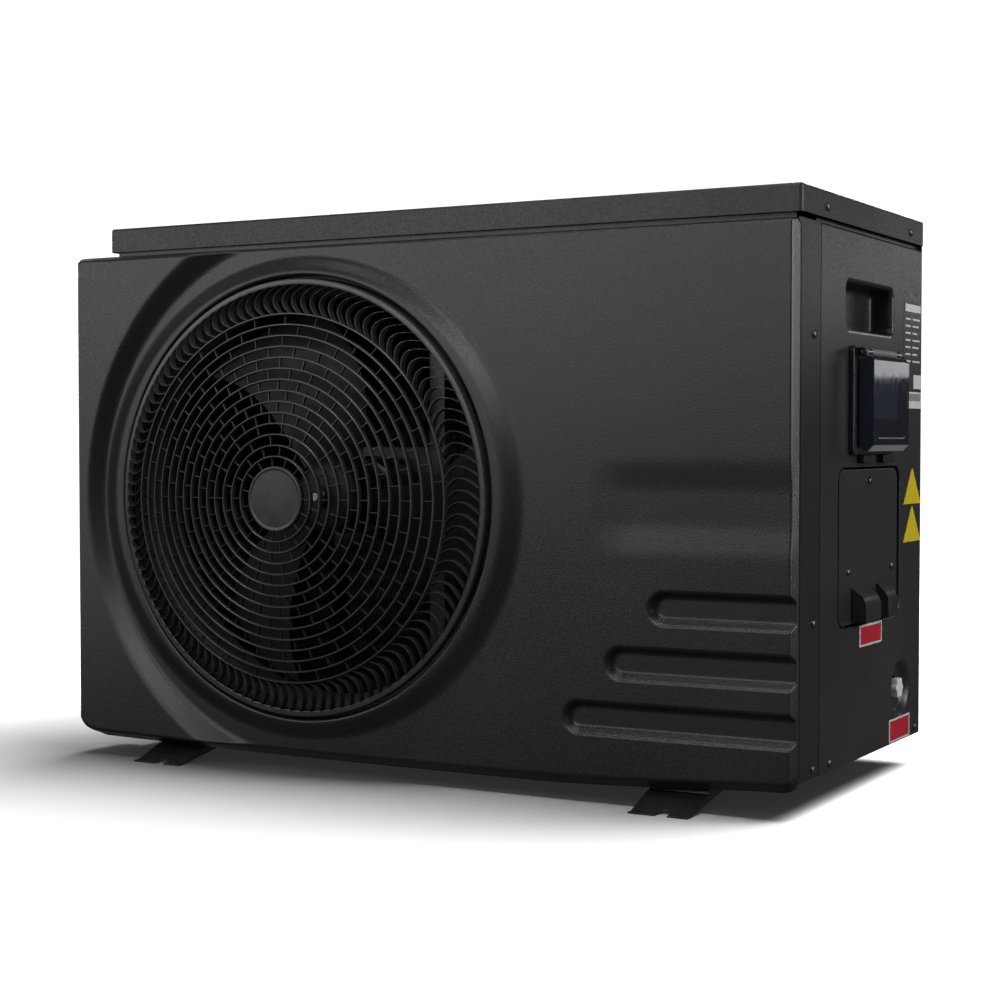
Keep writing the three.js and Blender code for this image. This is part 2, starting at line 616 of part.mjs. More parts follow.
// The finned coil: across the back and round the left side, as one block.
function evaporatorCoil() {
  const outer = WALL_BACK - SHEET - 8;
  const left = WALL_LEFT + SHEET + 8;
  const thick = 30;
  const bend = 60;
  const shape = new THREE.Shape();
  shape.moveTo(PARTITION_X - 6, outer);
  shape.lineTo(left + bend, outer);
  shape.absarc(left + bend, outer - bend, bend, Math.PI / 2, Math.PI);
  shape.lineTo(left, 90);
  shape.lineTo(left + thick, 90);
  shape.lineTo(left + thick, outer - bend);
  shape.absarc(left + bend, outer - bend, bend - thick, Math.PI, Math.PI / 2, true);
  shape.lineTo(PARTITION_X - 6, outer - thick);
  add('evaporator_coil', plate('z', shape, FLOOR_Z + GAP, 588, 6), 'fins');
}

function compressor() {
  const { x, y, radius, bottom, top } = COMPRESSOR;
  const can = turned('z', [
    [0, bottom + 2], [radius - 18, bottom + 4], [radius, bottom + 22],
    [radius, top - 26], [radius - 16, top - 6], [0, top],
  ], x, y);
  const feet = [0, 1, 2].map((i) => {
    const foot = box(20, radius + 36, -16, 16, bottom - 4, bottom);
    return foot.rotateZ(Math.PI / 2 + (i * Math.PI * 2) / 3).translate(x, y, 0);
  });
  const holes = footPlaces().map(([fx, fy]) => rod('z', 7, bottom - 10, bottom + 4, fx, fy, 12));
  const underside = rod('z', radius - 12, bottom - 4, bottom + 10, x, y);
  add('compressor', toGeometry(joined(can, underside, ...feet).subtract(joined(...holes))), 'satin');
}

function footPlaces() {
  return [0, 1, 2].map((i) => {
    const angle = Math.PI / 2 + (i * Math.PI * 2) / 3;
    const reach = COMPRESSOR.radius + 22;
    return [COMPRESSOR.x + reach * Math.cos(angle), COMPRESSOR.y + reach * Math.sin(angle)];
  });
}

function compressorMounts() {
  const { bottom } = COMPRESSOR;
  footPlaces().forEach(([x, y], i) => {
    const profile = [
      [0, FLOOR_Z + GAP], [14, FLOOR_Z + GAP], [14, FLOOR_Z + 8], [11, bottom - 12], [13, bottom - 4 - GAP],
      [6.5, bottom - 4 - GAP], [6.5, bottom + 6], [0, bottom + 6],
    ];
    add(`compressor_mount_${i + 1}`, turned('z', profile, x, y, 10), 'rubber');
  });
}

function accumulator() {
  const { x, y, radius } = ACCUMULATOR;
  const profile = [[0, 90], [radius - 10, 94], [radius, 108], [radius, 250], [radius - 12, 268], [0, 272]];
  const strap = box(x - 4, x + 4, y - 12, y + 12, FLOOR_Z + GAP, 100);
  add('suction_accumulator', fused(turned('z', profile, x, y), strap), 'satin');
}

function reversingValve() {
  const { x, y, z } = VALVE;
  const body = rod('x', 15, x - 55, x + 55, y, z);
  const ports = [-30, 0, 30].map((dx) => rod('z', 8, z - 42, z, x + dx, y, 12));
  const top = rod('z', 7, z, z + 34, x, y, 12);
  add('reversing_valve', fused(body, ...ports, top), 'brass');
}

function expansionValve() {
  const { x, y } = EXPANSION;
  const body = rod('z', 11, 205, 245, x, y);
  const coil = turned('z', [[0, 245], [20, 245], [20, 285], [6, 292], [0, 292]], x, y);
  add('expansion_valve', fused(body, coil), 'brass');
}

function pipes() {
  const { x, y, top } = COMPRESSOR;
  const port = VALVE.z - 42 - GAP;
  const side = VALVE.x + 30;
  add('discharge_pipe', bentRod([
    [x, y, top + GAP], [x, y, 325], [x - 12, 178, 335], [VALVE.x, VALVE.y, 340], [VALVE.x, VALVE.y, port],
  ], 6.5), 'copper');
  add('suction_pipe', bentRod([
    [ACCUMULATOR.x, ACCUMULATOR.y, 272 + GAP], [ACCUMULATOR.x, ACCUMULATOR.y, 300], [805, 170, 315],
    [side, VALVE.y, 322], [side, VALVE.y, port],
  ], 7.5), 'copper');
  add('liquid_pipe', bentRod([
    [EXPANSION.x, EXPANSION.y, 205 - GAP], [EXPANSION.x, EXPANSION.y, 130], [672, 345, 80], [656, 365, 50],
  ], 4.5), 'copper');
}

// ---------------------------------------------------------------- water side

function heatExchanger() {
  const { x, y, radius, bottom, top } = EXCHANGER;
  const shell = turned('z', [
    [0, bottom], [radius - 8, bottom], [radius, bottom + 8], [radius, top - 8], [radius - 8, top], [0, top],
  ], x, y);
  const band = (z) => turned('z', ringProfile(radius - 4, radius + 5, z, z + 20), x, y, 20);
  const bands = [band(bottom + 16), band(top - 36)];
  const heights = Object.values(WATER_PORTS);
  const nozzles = heights.map((z) => rod('y', 27, y + 20, NOZZLE_END, x, z, 20));
  const bores = heights.map((z) => rod('y', 21, y + 50, NOZZLE_END + 1, x, z, 20));
  const drain = rod('x', 10, x + 40, WALL_RIGHT - 18, DRAIN.y, DRAIN.z, 20);
  const drainBore = rod('x', 6, x + 70, WALL_RIGHT, DRAIN.y, DRAIN.z, 16);
  const whole = joined(shell, ...bands, ...nozzles, drain).subtract(joined(...bores, drainBore));
  add('heat_exchanger', toGeometry(whole), 'greyPvc');
}

function exchangerStand() {
  const { x, y, radius, bottom } = EXCHANGER;
  const ring = turned('z', ringProfile(radius - 30, radius + 2, FLOOR_Z + GAP, bottom - GAP), x, y);
  add('exchanger_stand', ring, 'rubber');
}

// Each water port: a pipe socket held to the exchanger nozzle by a hand-turned union nut.
function waterUnion(name, z) {
  const { x } = EXCHANGER;
  const start = NOZZLE_END + GAP;
  const end = start + 38;
  const socket = turned('y', [
    [21, start], [31, start], [31, start + 5], [28.5, start + 5.5], [28.5, end], [25.1, end],
    [25.1, start + 8], [21, start + 8], [21, start],
  ], x, z, 24);
  add(`${name}_socket`, socket, 'whitePvc');
  const grip = [];
  const lobes = 10;
  for (let i = 0; i < lobes * 2; i += 1) {
    const angle = (i / (lobes * 2)) * Math.PI * 2;
    const radius = i % 2 ? 41 : 38;
    grip.push([x + radius * Math.cos(angle), z + radius * Math.sin(angle)]);
  }
  const outside = plate('y', polygon(grip), WALL_BACK + 3, start + 22);
  const seat = rod('y', 31.6, WALL_BACK + 2, start + 5.8, x, z, 24);
  const mouth = rod('y', 29.1, WALL_BACK + 2, start + 30, x, z, 24);
  add(`${name}_union_nut`, cut(outside, seat, mouth), 'greyPvc');
}

function drainCap() {
  const end = WALL_RIGHT - 0.5;
  const lobes = 6;
  const points = [];
  for (let i = 0; i < lobes * 4; i += 1) {
    const angle = (i / (lobes * 4)) * Math.PI * 2;
    const radius = 10.8 + 1.2 * Math.cos(angle * lobes);
    points.push([DRAIN.y + radius * Math.cos(angle), DRAIN.z + radius * Math.sin(angle)]);
  }
  const cap = plate('x', polygon(points), end - 9, end);
  const stem = rod('x', 5.6, end - 30, end - 5, DRAIN.y, DRAIN.z, 16);
  const collar = rod('x', 9.5, end - 17, end - 8, DRAIN.y, DRAIN.z, 20);
  add('drain_cap', fused(cap, stem, collar), 'whitePvc');
}

// ---------------------------------------------------------------- electrics

function electricalBox() {
  const outer = box(662, 914, 74, 372, 470, 586);
  const inner = box(662 + SHEET, 914 - SHEET, 74 + SHEET, 372 - SHEET, 470 + SHEET, 590);
  const cupRoom = box(862, 930, 130, 326, 460, 560);
  add('electrical_box', cut(outer, inner, cupRoom), 'galvanised');
}

function controlBoard() {
  const board = box(680, 850, 90, 356, 480, 482);
  const sink = box(690, 740, 110, 330, 482, 510);
  const capacitors = [150, 190, 230].map((y) => rod('z', 12, 482, 520, 800, y, 16));
  add('control_board', fused(board, sink, ...capacitors), 'board');
}

function terminalBlock() {
  const back = 876;
  const base = box(back, back + 14, 165, 325, 236, 276);
  const ribs = [0, 1, 2, 3, 4, 5, 6].map((i) => {
    const y = 167 + 25.5 * i;
    return box(back + 10, back + 24, y, y + 3, 240, 272);
  });
  const bracket = box(back - 2, back + 1, 161, 329, 226, 286);
  const hanger = box(back - 2, back + 1, 200, 240, 280, 470 - GAP);
  add('terminal_block', fused(base, ...ribs, bracket, hanger), 'satin');
}

// The cover over the wiring, with a cable window behind each hood.
function accessCover() {
  const face = WALL_RIGHT - SHEET - GAP;
  const cover = plate('x', roundedRect(...ACCESS, 14), face - 2, face);
  const windows = HOODS.map(({ y0, y1 }) => box(face - 3, face + 1, y0 + 6, y1 - 6, 163, 183));
  add('access_cover', cut(cover, ...windows), 'painted');
}

// A cable hood: sloped on top, closed on three sides, open underneath and towards the cover.
function cableHood({ name, y0, y1, reach }) {
  const back = WALL_RIGHT - SHEET;
  const bottom = 157;
  const top = 197;
  const wall = 2;
  const front = back + reach;
  const outside = [[back, bottom], [front, bottom], [front, top - 18], [front - 5, top - 9], [back, top]];
  const inside = [
    [back - 1, bottom - 1], [front - wall, bottom - 1], [front - wall, top - 20], [back - 1, top - 6],
  ];
  const along = (points, from, to) => plate('y', polygon(points), from, to);
  add(name, cut(along(outside, y0, y1), along(inside, y0 + wall, y1 - wall)), 'satin');
}

function controllerHousing() {
  const { y0, y1, z0, z1, back } = CONTROLLER;
  const flange = plate('x', roundedRect(y0, y1, z0, z1, 6), back, back + 6);
  const body = plate('x', roundedRect(BODY.y0, BODY.y1, BODY.z0, BODY.z1, 5), back, BODY.front);
  const lug = (y) => fused(
    box(back + 4, HINGE.x, y, y + 6, HINGE.z - 5, HINGE.z + 5),
    rod('y', 5, y, y + 6, HINGE.x, HINGE.z),
  );
  const holes = buttonPlaces().map(([y, z]) => rod('x', 5.2, BODY.front - 5, BODY.front + 1, y, z));
  const screen = plate('x', roundedRect(...SCREEN, 3), BODY.front - 2.5, BODY.front + 1);
  const pin = rod('y', HINGE.radius, y0, y1, HINGE.x, HINGE.z);
  const whole = joined(flange, body, lug(y0 + 4), lug(y1 - 10)).subtract(joined(screen, pin, ...holes));
  add('controller_housing', toGeometry(whole), 'satin');
}

function buttonPlaces() {
  return [0, 1, 2, 3].map((i) => [192 + 24 * i, 370]);
}

function controllerScreen() {
  const [y0, y1, z0, z1] = SCREEN;
  const outline = roundedRect(y0 + GAP, y1 - GAP, z0 + GAP, z1 - GAP, 2.7);
  add('controller_screen', plate('x', outline, BODY.front - 2.2, BODY.front + 0.4), 'glass');
}

function controllerButtons() {
  buttonPlaces().forEach(([y, z], i) => {
    add(`controller_button_${i + 1}`, rod('x', 4.8, BODY.front - 3, BODY.front + 1.5, y, z), 'rubber');
  });
}

// The flip cover: a shallow box over the controller face that hangs from the hinge pin.
function controllerCover() {
  const front = WIDTH + 24;
  const rear = WIDTH + 7.5;
  const y0 = BODY.y0 - 4;
  const y1 = BODY.y1 + 4;
  const bottom = 350;
  const wall = 2;
  const side = polygon([
    [rear, bottom + 4], [rear + 8, bottom], [front - 7, bottom], [front, bottom + 7],
    [front, 452], [front - 5, 457], [rear, 455],
  ]);
  const hollow = polygon([
    [rear - 1, bottom + 5.5], [rear + 8, bottom + wall], [front - 8, bottom + wall],
    [front - wall, bottom + 8], [front - wall, 451], [front - 6, 454], [rear - 1, 453],
  ]);
  const inside = plate('y', hollow, y0 + wall, y1 - wall);
  const shell = toManifold(plate('y', side, y0, y1)).subtract(toManifold(inside));
  const knuckle = (y) => fused(
    rod('y', 4.5, y, y + 14, HINGE.x, HINGE.z),
    box(HINGE.x - 3, HINGE.x + 3, y, y + 14, 455, HINGE.z),
  );
  const bore = rod('y', HINGE.radius, y0 - 10, y1 + 10, HINGE.x, HINGE.z);
  const whole = shell.add(joined(knuckle(y0 + 6), knuckle(y1 - 20))).subtract(toManifold(bore));
  add('controller_cover', toGeometry(whole), 'darkGloss');
}

function coverPin() {
  const { y0, y1 } = CONTROLLER;
  add('cover_hinge_pin', rod('y', HINGE.radius - GAP, y0 + 4, y1 - 4, HINGE.x, HINGE.z), 'galvanised');
}

function controllerClips() {
  const top = CONTROLLER.z0 - GAP;
  [[182, 224], [252, 294]].forEach(([y0, y1], i) => {
    const clip = plate('x', roundedRect(y0, y1, top - 9, top, 2), CONTROLLER.back, CONTROLLER.back + 8);
    add(`controller_clip_${i + 1}`, clip, 'satin');
  });
}

// ---------------------------------------------------------------- screws

// A pan-head screw whose head sits on a face that points along +x.
function sideScrew(name, x, y, z) {
  const profile = [[0, x + GAP], [4.6, x + GAP], [4.6, x + 1.2], [3.4, x + 2.4], [0, x + 2.9]];
  add(name, turned('x', profile, y, z, 10), 'screw');
}

function screws() {
  const coverFace = WALL_RIGHT - SHEET - GAP;
  [[231, 316], [158, 215], [313, 214]].forEach(([y, z], i) => {
    sideScrew(`access_screw_${i + 1}`, coverFace, y, z);
  });
  [475, 167, 11].forEach((z, i) => sideScrew(`wrap_screw_${i + 1}`, WALL_RIGHT, 42, z));
  [77, 372].forEach((y, i) => sideScrew(`lid_screw_${i + 1}`, WIDTH, y, LID_BOTTOM + 12));
}

// ---------------------------------------------------------------- assembly

lid();
basePan();
footRail('foot_rail_left', 76);
footRail('foot_rail_right', 754);
frontPanel();
rightSidePanel();
handleCup();
leftSidePanel();
rearGuard();
rearPanel();
partition();
fanGrille();
fanShroud();
fan();
fanMotor();
motorBracket();
evaporatorCoil();
compressor();
compressorMounts();
accumulator();
reversingValve();
expansionValve();
pipes();
heatExchanger();
exchangerStand();
Object.entries(WATER_PORTS).forEach(([name, z]) => waterUnion(name, z));
drainCap();
electricalBox();
controlBoard();
terminalBlock();
accessCover();
HOODS.forEach(cableHood);
controllerHousing();
controllerScreen();
controllerButtons();
controllerCover();
coverPin();
controllerClips();
screws();

// The origin is the middle of the footprint, at floor level.
const bounds = new THREE.Box3().setFromObject(unit);
const centre = bounds.getCenter(new THREE.Vector3());
unit.position.set(-centre.x, -centre.y, -bounds.min.z);

export default unit;
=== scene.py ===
"""The look of a pool heat pump: moulded front, domed fan grille, cabinet, controller and rear ports.

Shapes are written in cabinet millimetres: x runs right from the lid's left end, y runs back from the
lid's front face and z runs up from the side panels' bottom edge. place() turns them into the frame's
metres. Pieces that the CAD makes well enough are softened and painted where they are.
"""

import json
import math

import bmesh
import bpy
import numpy as np
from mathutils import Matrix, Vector
from mathutils.geometry import tessellate_polygon


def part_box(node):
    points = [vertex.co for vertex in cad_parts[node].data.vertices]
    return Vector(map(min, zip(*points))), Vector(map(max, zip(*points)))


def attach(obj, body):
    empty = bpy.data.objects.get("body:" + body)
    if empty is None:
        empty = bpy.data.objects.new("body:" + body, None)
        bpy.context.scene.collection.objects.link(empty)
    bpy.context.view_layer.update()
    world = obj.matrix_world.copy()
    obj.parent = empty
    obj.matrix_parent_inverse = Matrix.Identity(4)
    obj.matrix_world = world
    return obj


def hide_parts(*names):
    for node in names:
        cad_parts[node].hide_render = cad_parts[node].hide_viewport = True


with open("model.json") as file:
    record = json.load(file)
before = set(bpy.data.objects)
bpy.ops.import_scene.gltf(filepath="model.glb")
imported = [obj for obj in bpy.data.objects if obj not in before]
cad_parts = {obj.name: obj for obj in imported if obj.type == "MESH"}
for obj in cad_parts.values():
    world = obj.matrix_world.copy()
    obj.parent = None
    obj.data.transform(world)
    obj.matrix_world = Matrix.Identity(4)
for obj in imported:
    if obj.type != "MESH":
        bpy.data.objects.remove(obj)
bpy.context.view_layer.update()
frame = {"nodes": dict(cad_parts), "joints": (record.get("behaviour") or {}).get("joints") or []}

# ---------------- driving dimensions

MM = 0.001
HEIGHT = 631  # side panel bottom edge to lid top
LID_SKIRT = 30
FACE_PLANE = -15  # y of the front panel's main face
BASE_PLANE = -3  # y of its outer edge
CORNER_RISE = 16  # the left corner fields stand this far in front of the face
DISH = {"x": 318, "r": 316, "x_rim": 334, "r_rim": 349}  # the round dish that the corner fields surround
RING_RISE = 10  # the ring round the fan stands this far in front of the face
RING_FOOT = (300, 286.5)  # half width and half height of the ring where it meets the face
RING_BROW = (279, 271)  # and where it is highest
BAND = {"x": 690, "low": 240, "high": 310, "depth": 2.7}  # the shallow step across the face's right half
GROOVE_HALF = 18.5  # half the height of a grip groove
GROOVE_DEPTH = 10
GROOVES = [(761 - 51.5 * row, 181 - 62 * row) for row in range(3)]  # left end and centre height
OPENING_RADIUS = 265
GRILLE_RADIUS = 260.5
GRILLE_DOME_RADIUS = 218
GRILLE_HUB_RADIUS = 38.5
HUB_Y, DOME_Y, RIM_Y = -70, -48, -29  # the grille's outer surface at its hub, its dome's edge and rim
RING_START = 50  # radius of the grille's innermost fine ring
RING_COUNT = 14
VANE_COUNT = 110
VANE_BOW = 13  # how far the middle of a vane bows to the side
BLADE_COUNT = 3
MOTOR_BACK = 178  # y of the fan motor's back
SHEET = 1.2  # sheet-steel thickness
FOLD = 3  # outer radius of the folded sheets' corners
HANDLE = (145, 309, 486, 538)  # y and z limits of the carrying recess
ACCESS = (121, 340, 154, 331)  # and of the wiring recess
DRAIN_Y, DRAIN_Z, DRAIN_RADIUS = 348, 64, 35
WATER_X, INLET_Z, OUTLET_Z = 800, 130, 400
GUARD_RIGHT = 640  # x where the rear guard ends and the rear panel starts
BEND_COUNT = 22
BEND_PITCH = 26  # height from one return bend of the coil to the next
STATUS_LAMP = (262, 424)  # y and z of the controller's red lamp
GRIP_LINE_Z = 364  # bottom of the grip line on the controller's cover
FLOOR_LEVEL = -37  # z of the floor
CAMERA = (1631.45, -1896.98, 363.9)
LENS = 68.97  # mm on a sensor 36 mm wide
LOOK_DOWN, LOOK_LEFT = 1.8241, 29.2353  # degrees
SPLIT_X = 640  # the face's mesh is polar to the left of this line and square to the right
CHIN_ZONE, CROWN_ZONE = 30, 580  # below and above these heights the square part bends to the face's edge

lid_low, lid_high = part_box("lid")
ORIGIN = Vector((lid_low.x, lid_low.y, lid_high.z - HEIGHT * MM))


def place(x, y, z):
    """A point in cabinet millimetres, in the frame's metres."""
    return ORIGIN + Vector((x, y, z)) * MM


def limits(node):
    """A CAD node's lowest and highest corners, in cabinet millimetres."""
    return [(corner - ORIGIN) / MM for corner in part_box(node)]


WIDTH, DEPTH = limits("lid")[1].x, limits("lid")[1].y
LID_BOTTOM = HEIGHT - LID_SKIRT
WALL_LEFT = limits("left_side_panel")[0].x
WALL_RIGHT = limits("wrap_screw_1")[0].x - 0.3
WALL_BACK = limits("rear_panel")[1].y
PANEL_TOP = limits("rear_panel")[1].z
SHOULDER = LID_BOTTOM - 5  # top of the right wall's outer face, just below the lid
FRONT_LEFT = limits("front_panel")[0].x
FRONT_BOTTOM = limits("front_panel")[0].z
FRONT_TOP = limits("front_panel")[1].z - 28.5
WRAP_BACK = limits("front_panel")[1].y
fan_hub = next(j for j in frame["joints"] if j["name"] == "fan_spin")["pos_m"]
FAN_X, _, FAN_Z = (Vector(fan_hub) - ORIGIN) / MM

# ---------------- shape tools


def onto(axis, u, v, level):
    """A flat outline's point (u, v) at a level along an axis: (y, z) for x, (x, z) for y, (x, y) for z."""
    return {"x": (level, u, v), "y": (u, level, v), "z": (u, v, level)}[axis]


def circle(a, b, sides=48):
    """A function from a radius to the points of a circle round (a, b)."""
    turns = [2 * math.pi * k / sides for k in range(sides)]
    return lambda radius: [(a + radius * math.cos(t), b + radius * math.sin(t)) for t in turns]


def rounded_rect(u0, u1, v0, v1, radius, steps=6):
    """A function from an inset to the points of a rectangle with round corners."""

    def outline(inset):
        r = max(radius - inset, 0.05)
        corners = [(u1, v0, -90), (u1, v1, 0), (u0, v1, 90), (u0, v0, 180)]
        points = []
        for u, v, start in corners:
            centre_u = u - math.copysign(inset + r, u - (u0 + u1) / 2)
            centre_v = v - math.copysign(inset + r, v - (v0 + v1) / 2)
            for k in range(steps + 1):
                t = math.radians(start + 90 * k / steps)
                points.append((centre_u + r * math.cos(t), centre_v + r * math.sin(t)))
        return points

    return outline


def polygon(points):
    """A function from an inset to a convex outline's points, drawn in towards its middle."""
    middle_u = sum(u for u, _ in points) / len(points)
    middle_v = sum(v for _, v in points) / len(points)

    def outline(inset):
        drawn = []
        for u, v in points:
            reach = math.hypot(u - middle_u, v - middle_v)
            share = 1 - inset / reach
            drawn.append((middle_u + (u - middle_u) * share, middle_v + (v - middle_v) * share))
        return drawn

    return outline


def slab_profile(low, high, edge, steps=3):
    """(inset, level) points of a slab's side, with both edges rounded."""
    turns = [math.radians(90 * k / steps) for k in range(steps + 1)]
    bottom = [(edge * (1 - math.sin(t)), low + edge * (1 - math.cos(t))) for t in turns]
    top = [(inset, high - (level - low)) for inset, level in reversed(bottom)]
    return bottom + top


class Form:
    """The points and faces of one piece."""

    def __init__(self):
        self.points = []
        self.faces = []

    def sheet(self, rows, loop_rows=False, loop_columns=False, ends=False):
        """Quads through rows of points; with ends, the first and last row are filled."""
        first = len(self.points)
        count = len(rows[0])
        for row in rows:
            self.points.extend(row)
        for i in range(len(rows) if loop_rows else len(rows) - 1):
            here = first + i * count
            there = first + (i + 1) % len(rows) * count
            for j in range(count if loop_columns else count - 1):
                after = (j + 1) % count
                self.faces.append((here + j, here + after, there + after, there + j))
        if ends:
            last = first + (len(rows) - 1) * count
            self.faces.append(tuple(range(first, first + count)))
            self.faces.append(tuple(range(last, last + count)))

    def stack(self, axis, outline, profile, closed=False, ends=True):
        """Copies of an outline, each with its inset and level, joined into a skin."""
        rows = [[onto(axis, u, v, level) for u, v in outline(inset)] for inset, level in profile]
        self.sheet(rows, loop_rows=closed, loop_columns=True, ends=ends and not closed)

    def slab(self, axis, outline, low, high, edge=0.4):
        self.stack(axis, outline, slab_profile(low, high, edge))

    def turned(self, axis, a, b, profile, sides=48, closed=False):
        """A turned form: the profile is (radius, level) points."""
        self.stack(axis, circle(a, b, sides), profile, closed=closed)

    def rod(self, axis, a, b, radius, low, high, edge=0.4, sides=32):
        profile = [(radius - inset, level) for inset, level in slab_profile(low, high, edge)]
        self.turned(axis, a, b, profile, sides)

    def holed_slab(self, axis, outer, holes, low, high, edge=0.3):
        """A slab with holes right through it; every edge is rounded."""
        profile = slab_profile(low, high, edge, 2)
        ends = ([], [])
        rings = []
        for outline, side in [(outer, 1)] + [(hole, -1) for hole in holes]:
            first = len(self.points)
            self.stack(axis, outline, [(side * inset, level) for inset, level in profile], ends=False)
            rim = outline(side * edge)
            rings.append([Vector((u, v, 0)) for u, v in rim])
            last = first + (len(profile) - 1) * len(rim)
            ends[0].extend(range(first, first + len(rim)))
            ends[1].extend(range(last, last + len(rim)))
        for corners in tessellate_polygon(rings):
            for end in ends:
                self.faces.append(tuple(end[i] for i in corners))

    def box(self, x0, x1, y0, y1, z0, z1, edge=0.4):
        self.slab("z", rounded_rect(x0, x1, y0, y1, edge, 2), z0, z1, edge)


def even_shading(piece):
    """Lets large faces set the normals that they share with narrow ones."""
    normals = piece.modifiers.new("normals", "WEIGHTED_NORMAL")
    normals.keep_sharp = True


def make(name, form, finish, body="cabinet", replaces=(), sharp=38):
    """Turns a form into a piece that rides on a body."""
    mesh = bpy.data.meshes.new(name)
    mesh.from_pydata([place(*point) for point in form.points], [], form.faces)
    work = bmesh.new()
    work.from_mesh(mesh)
    bmesh.ops.remove_doubles(work, verts=work.verts, dist=1e-6)
    bmesh.ops.recalc_face_normals(work, faces=work.faces)
    work.to_mesh(mesh)
    work.free()
    mesh.shade_smooth()
    mesh.set_sharp_from_angle(angle=math.radians(sharp))
    piece = bpy.data.objects.new(name, mesh)
    bpy.context.scene.collection.objects.link(piece)
    mesh.materials.append(finish)
    even_shading(piece)
    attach(piece, body)
    if replaces:
        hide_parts(*replaces)


def soften(node, finish, width=0.5, segments=2):
    """Paints a CAD node and rounds its edges with modifiers; its own mesh stays as it is."""
    piece = frame["nodes"][node]
    piece.data.materials.clear()
    piece.data.materials.append(finish)
    custom = piece.data.attributes.get("custom_normal")
    if custom:
        piece.data.attributes.remove(custom)
    piece.data.shade_smooth()
    weld = piece.modifiers.new("weld", "WELD")
    weld.merge_threshold = 0.01 * MM
    flat = piece.modifiers.new("flat", "DECIMATE")
    flat.decimate_type = "DISSOLVE"
    flat.angle_limit = math.radians(0.5)
    bevel = piece.modifiers.new("bevel", "BEVEL")
    bevel.width = width * MM
    bevel.segments = segments
    bevel.limit_method = "ANGLE"
    bevel.angle_limit = math.radians(32)
    bevel.use_clamp_overlap = True
    even_shading(piece)


# ---------------- materials


class Finish:
    """One node material. Textures use the object's own coordinates, in metres."""

    def __init__(self, name, metallic=0.0):
        self.material = bpy.data.materials.new(name)
        self.material.use_nodes = True
        self.nodes = self.material.node_tree.nodes
        self.links = self.material.node_tree.links
        self.shader = self.nodes["Principled BSDF"]
        self.where = self.nodes.new("ShaderNodeTexCoord").outputs["Object"]
        self.set("Metallic", metallic)
        self.height = None

    def set(self, name, value):
        self.shader.inputs[name].default_value = value

    def add(self, kind, inputs):
        """A new node; each of its inputs takes a value or another node's output."""
        node = self.nodes.new(f"ShaderNode{kind}")
        for name, value in inputs.items():
            if isinstance(value, bpy.types.NodeSocket):
                self.links.new(value, node.inputs[name])
            else:
                node.inputs[name].default_value = value
        return node

    def noise(self, grain, detail=2.0):
        """Cloudy noise whose lumps are about grain millimetres across."""
        inputs = {"Scale": 1 / (grain * MM), "Detail": detail, "Vector": self.where}
        return self.add("TexNoise", inputs).outputs["Fac"]

    def cells(self, grain, feature="F1"):
        """Voronoi cells about grain millimetres across."""
        texture = self.add("TexVoronoi", {"Scale": 1 / (grain * MM), "Vector": self.where})
        texture.feature = feature
        return texture.outputs["Distance"]

    def stripes(self, direction, pitch):
        """Sine stripes across a direction, pitch millimetres apart."""
        dot = self.add("VectorMath", {0: self.where, 1: Vector(direction) * 2 * math.pi / (pitch * MM)})
        dot.operation = "DOT_PRODUCT"
        return self.math("SINE", dot.outputs["Value"], 0)

    def math(self, operation, a, b):
        """One sum of two values, each a number or another node's output."""
        node = self.add("Math", {0: a, 1: b})
        node.operation = operation
        return node.outputs[0]

    def spread(self, value, low, high, start=0.35, stop=0.65):
        """The value's range from start to stop, spread over low to high."""
        inputs = {"Value": value, "From Min": start, "From Max": stop, "To Min": low, "To Max": high}
        return self.add("MapRange", inputs).outputs["Result"]

    def tint(self, value, colours):
        """Base colour that follows a value through several colours."""
        ramp = self.nodes.new("ShaderNodeValToRGB")
        last = len(colours) - 1
        for i, colour in enumerate(colours):
            place_at = 0.3 + 0.4 * i / last
            stop = ramp.color_ramp.elements[i] if i < 2 else ramp.color_ramp.elements.new(place_at)
            stop.position = place_at
            stop.color = (*colour, 1)
        self.links.new(value, ramp.inputs["Fac"])
        self.links.new(ramp.outputs["Color"], self.shader.inputs["Base Color"])

    def rough(self, value, low, high):
        """Roughness from low to high that follows a value."""
        self.links.new(self.spread(value, low, high), self.shader.inputs["Roughness"])

    def bump(self, value, height):
        """Relief height millimetres deep, on top of any relief that is there."""
        inputs = {"Distance": height * MM, "Strength": 1, "Height": value}
        if self.height:
            inputs["Normal"] = self.height
        self.height = self.add("Bump", inputs).outputs["Normal"]
        self.links.new(self.height, self.shader.inputs["Normal"])


def speckled(finish, grain, share=0.6, cloud=300):
    """A fine speckle on top of a broad, slow change."""
    fine = finish.math("MULTIPLY", finish.noise(grain, 3), share)
    broad = finish.math("MULTIPLY", finish.noise(cloud, 1), 1 - share)
    return finish.math("ADD", fine, broad)


def grained_moulding():
    """Charcoal plastic with a fine leather grain, a little browner in places."""
    finish = Finish("grained_moulding")
    shades = [(0.004, 0.0038, 0.0037), (0.012, 0.0113, 0.011), (0.032, 0.03, 0.029)]
    finish.tint(speckled(finish, 1.5), shades)
    finish.rough(finish.noise(1.3, 3), 0.28, 0.42)
    finish.bump(finish.noise(1.5, 2), 0.15)
    finish.bump(finish.cells(1.2), 0.09)
    return finish.material


def powder_coat(name, dark, light, relief=0.12, shine=(0.36, 0.52)):
    """Textured powder coat: fine relief, a slight mottle and a satin shine."""
    finish = Finish(name)
    finish.tint(speckled(finish, 1.2, 0.5, 140), [dark, light])
    finish.rough(finish.noise(2.0, 3), *shine)
    finish.bump(finish.noise(1.2, 2), relief)
    return finish.material


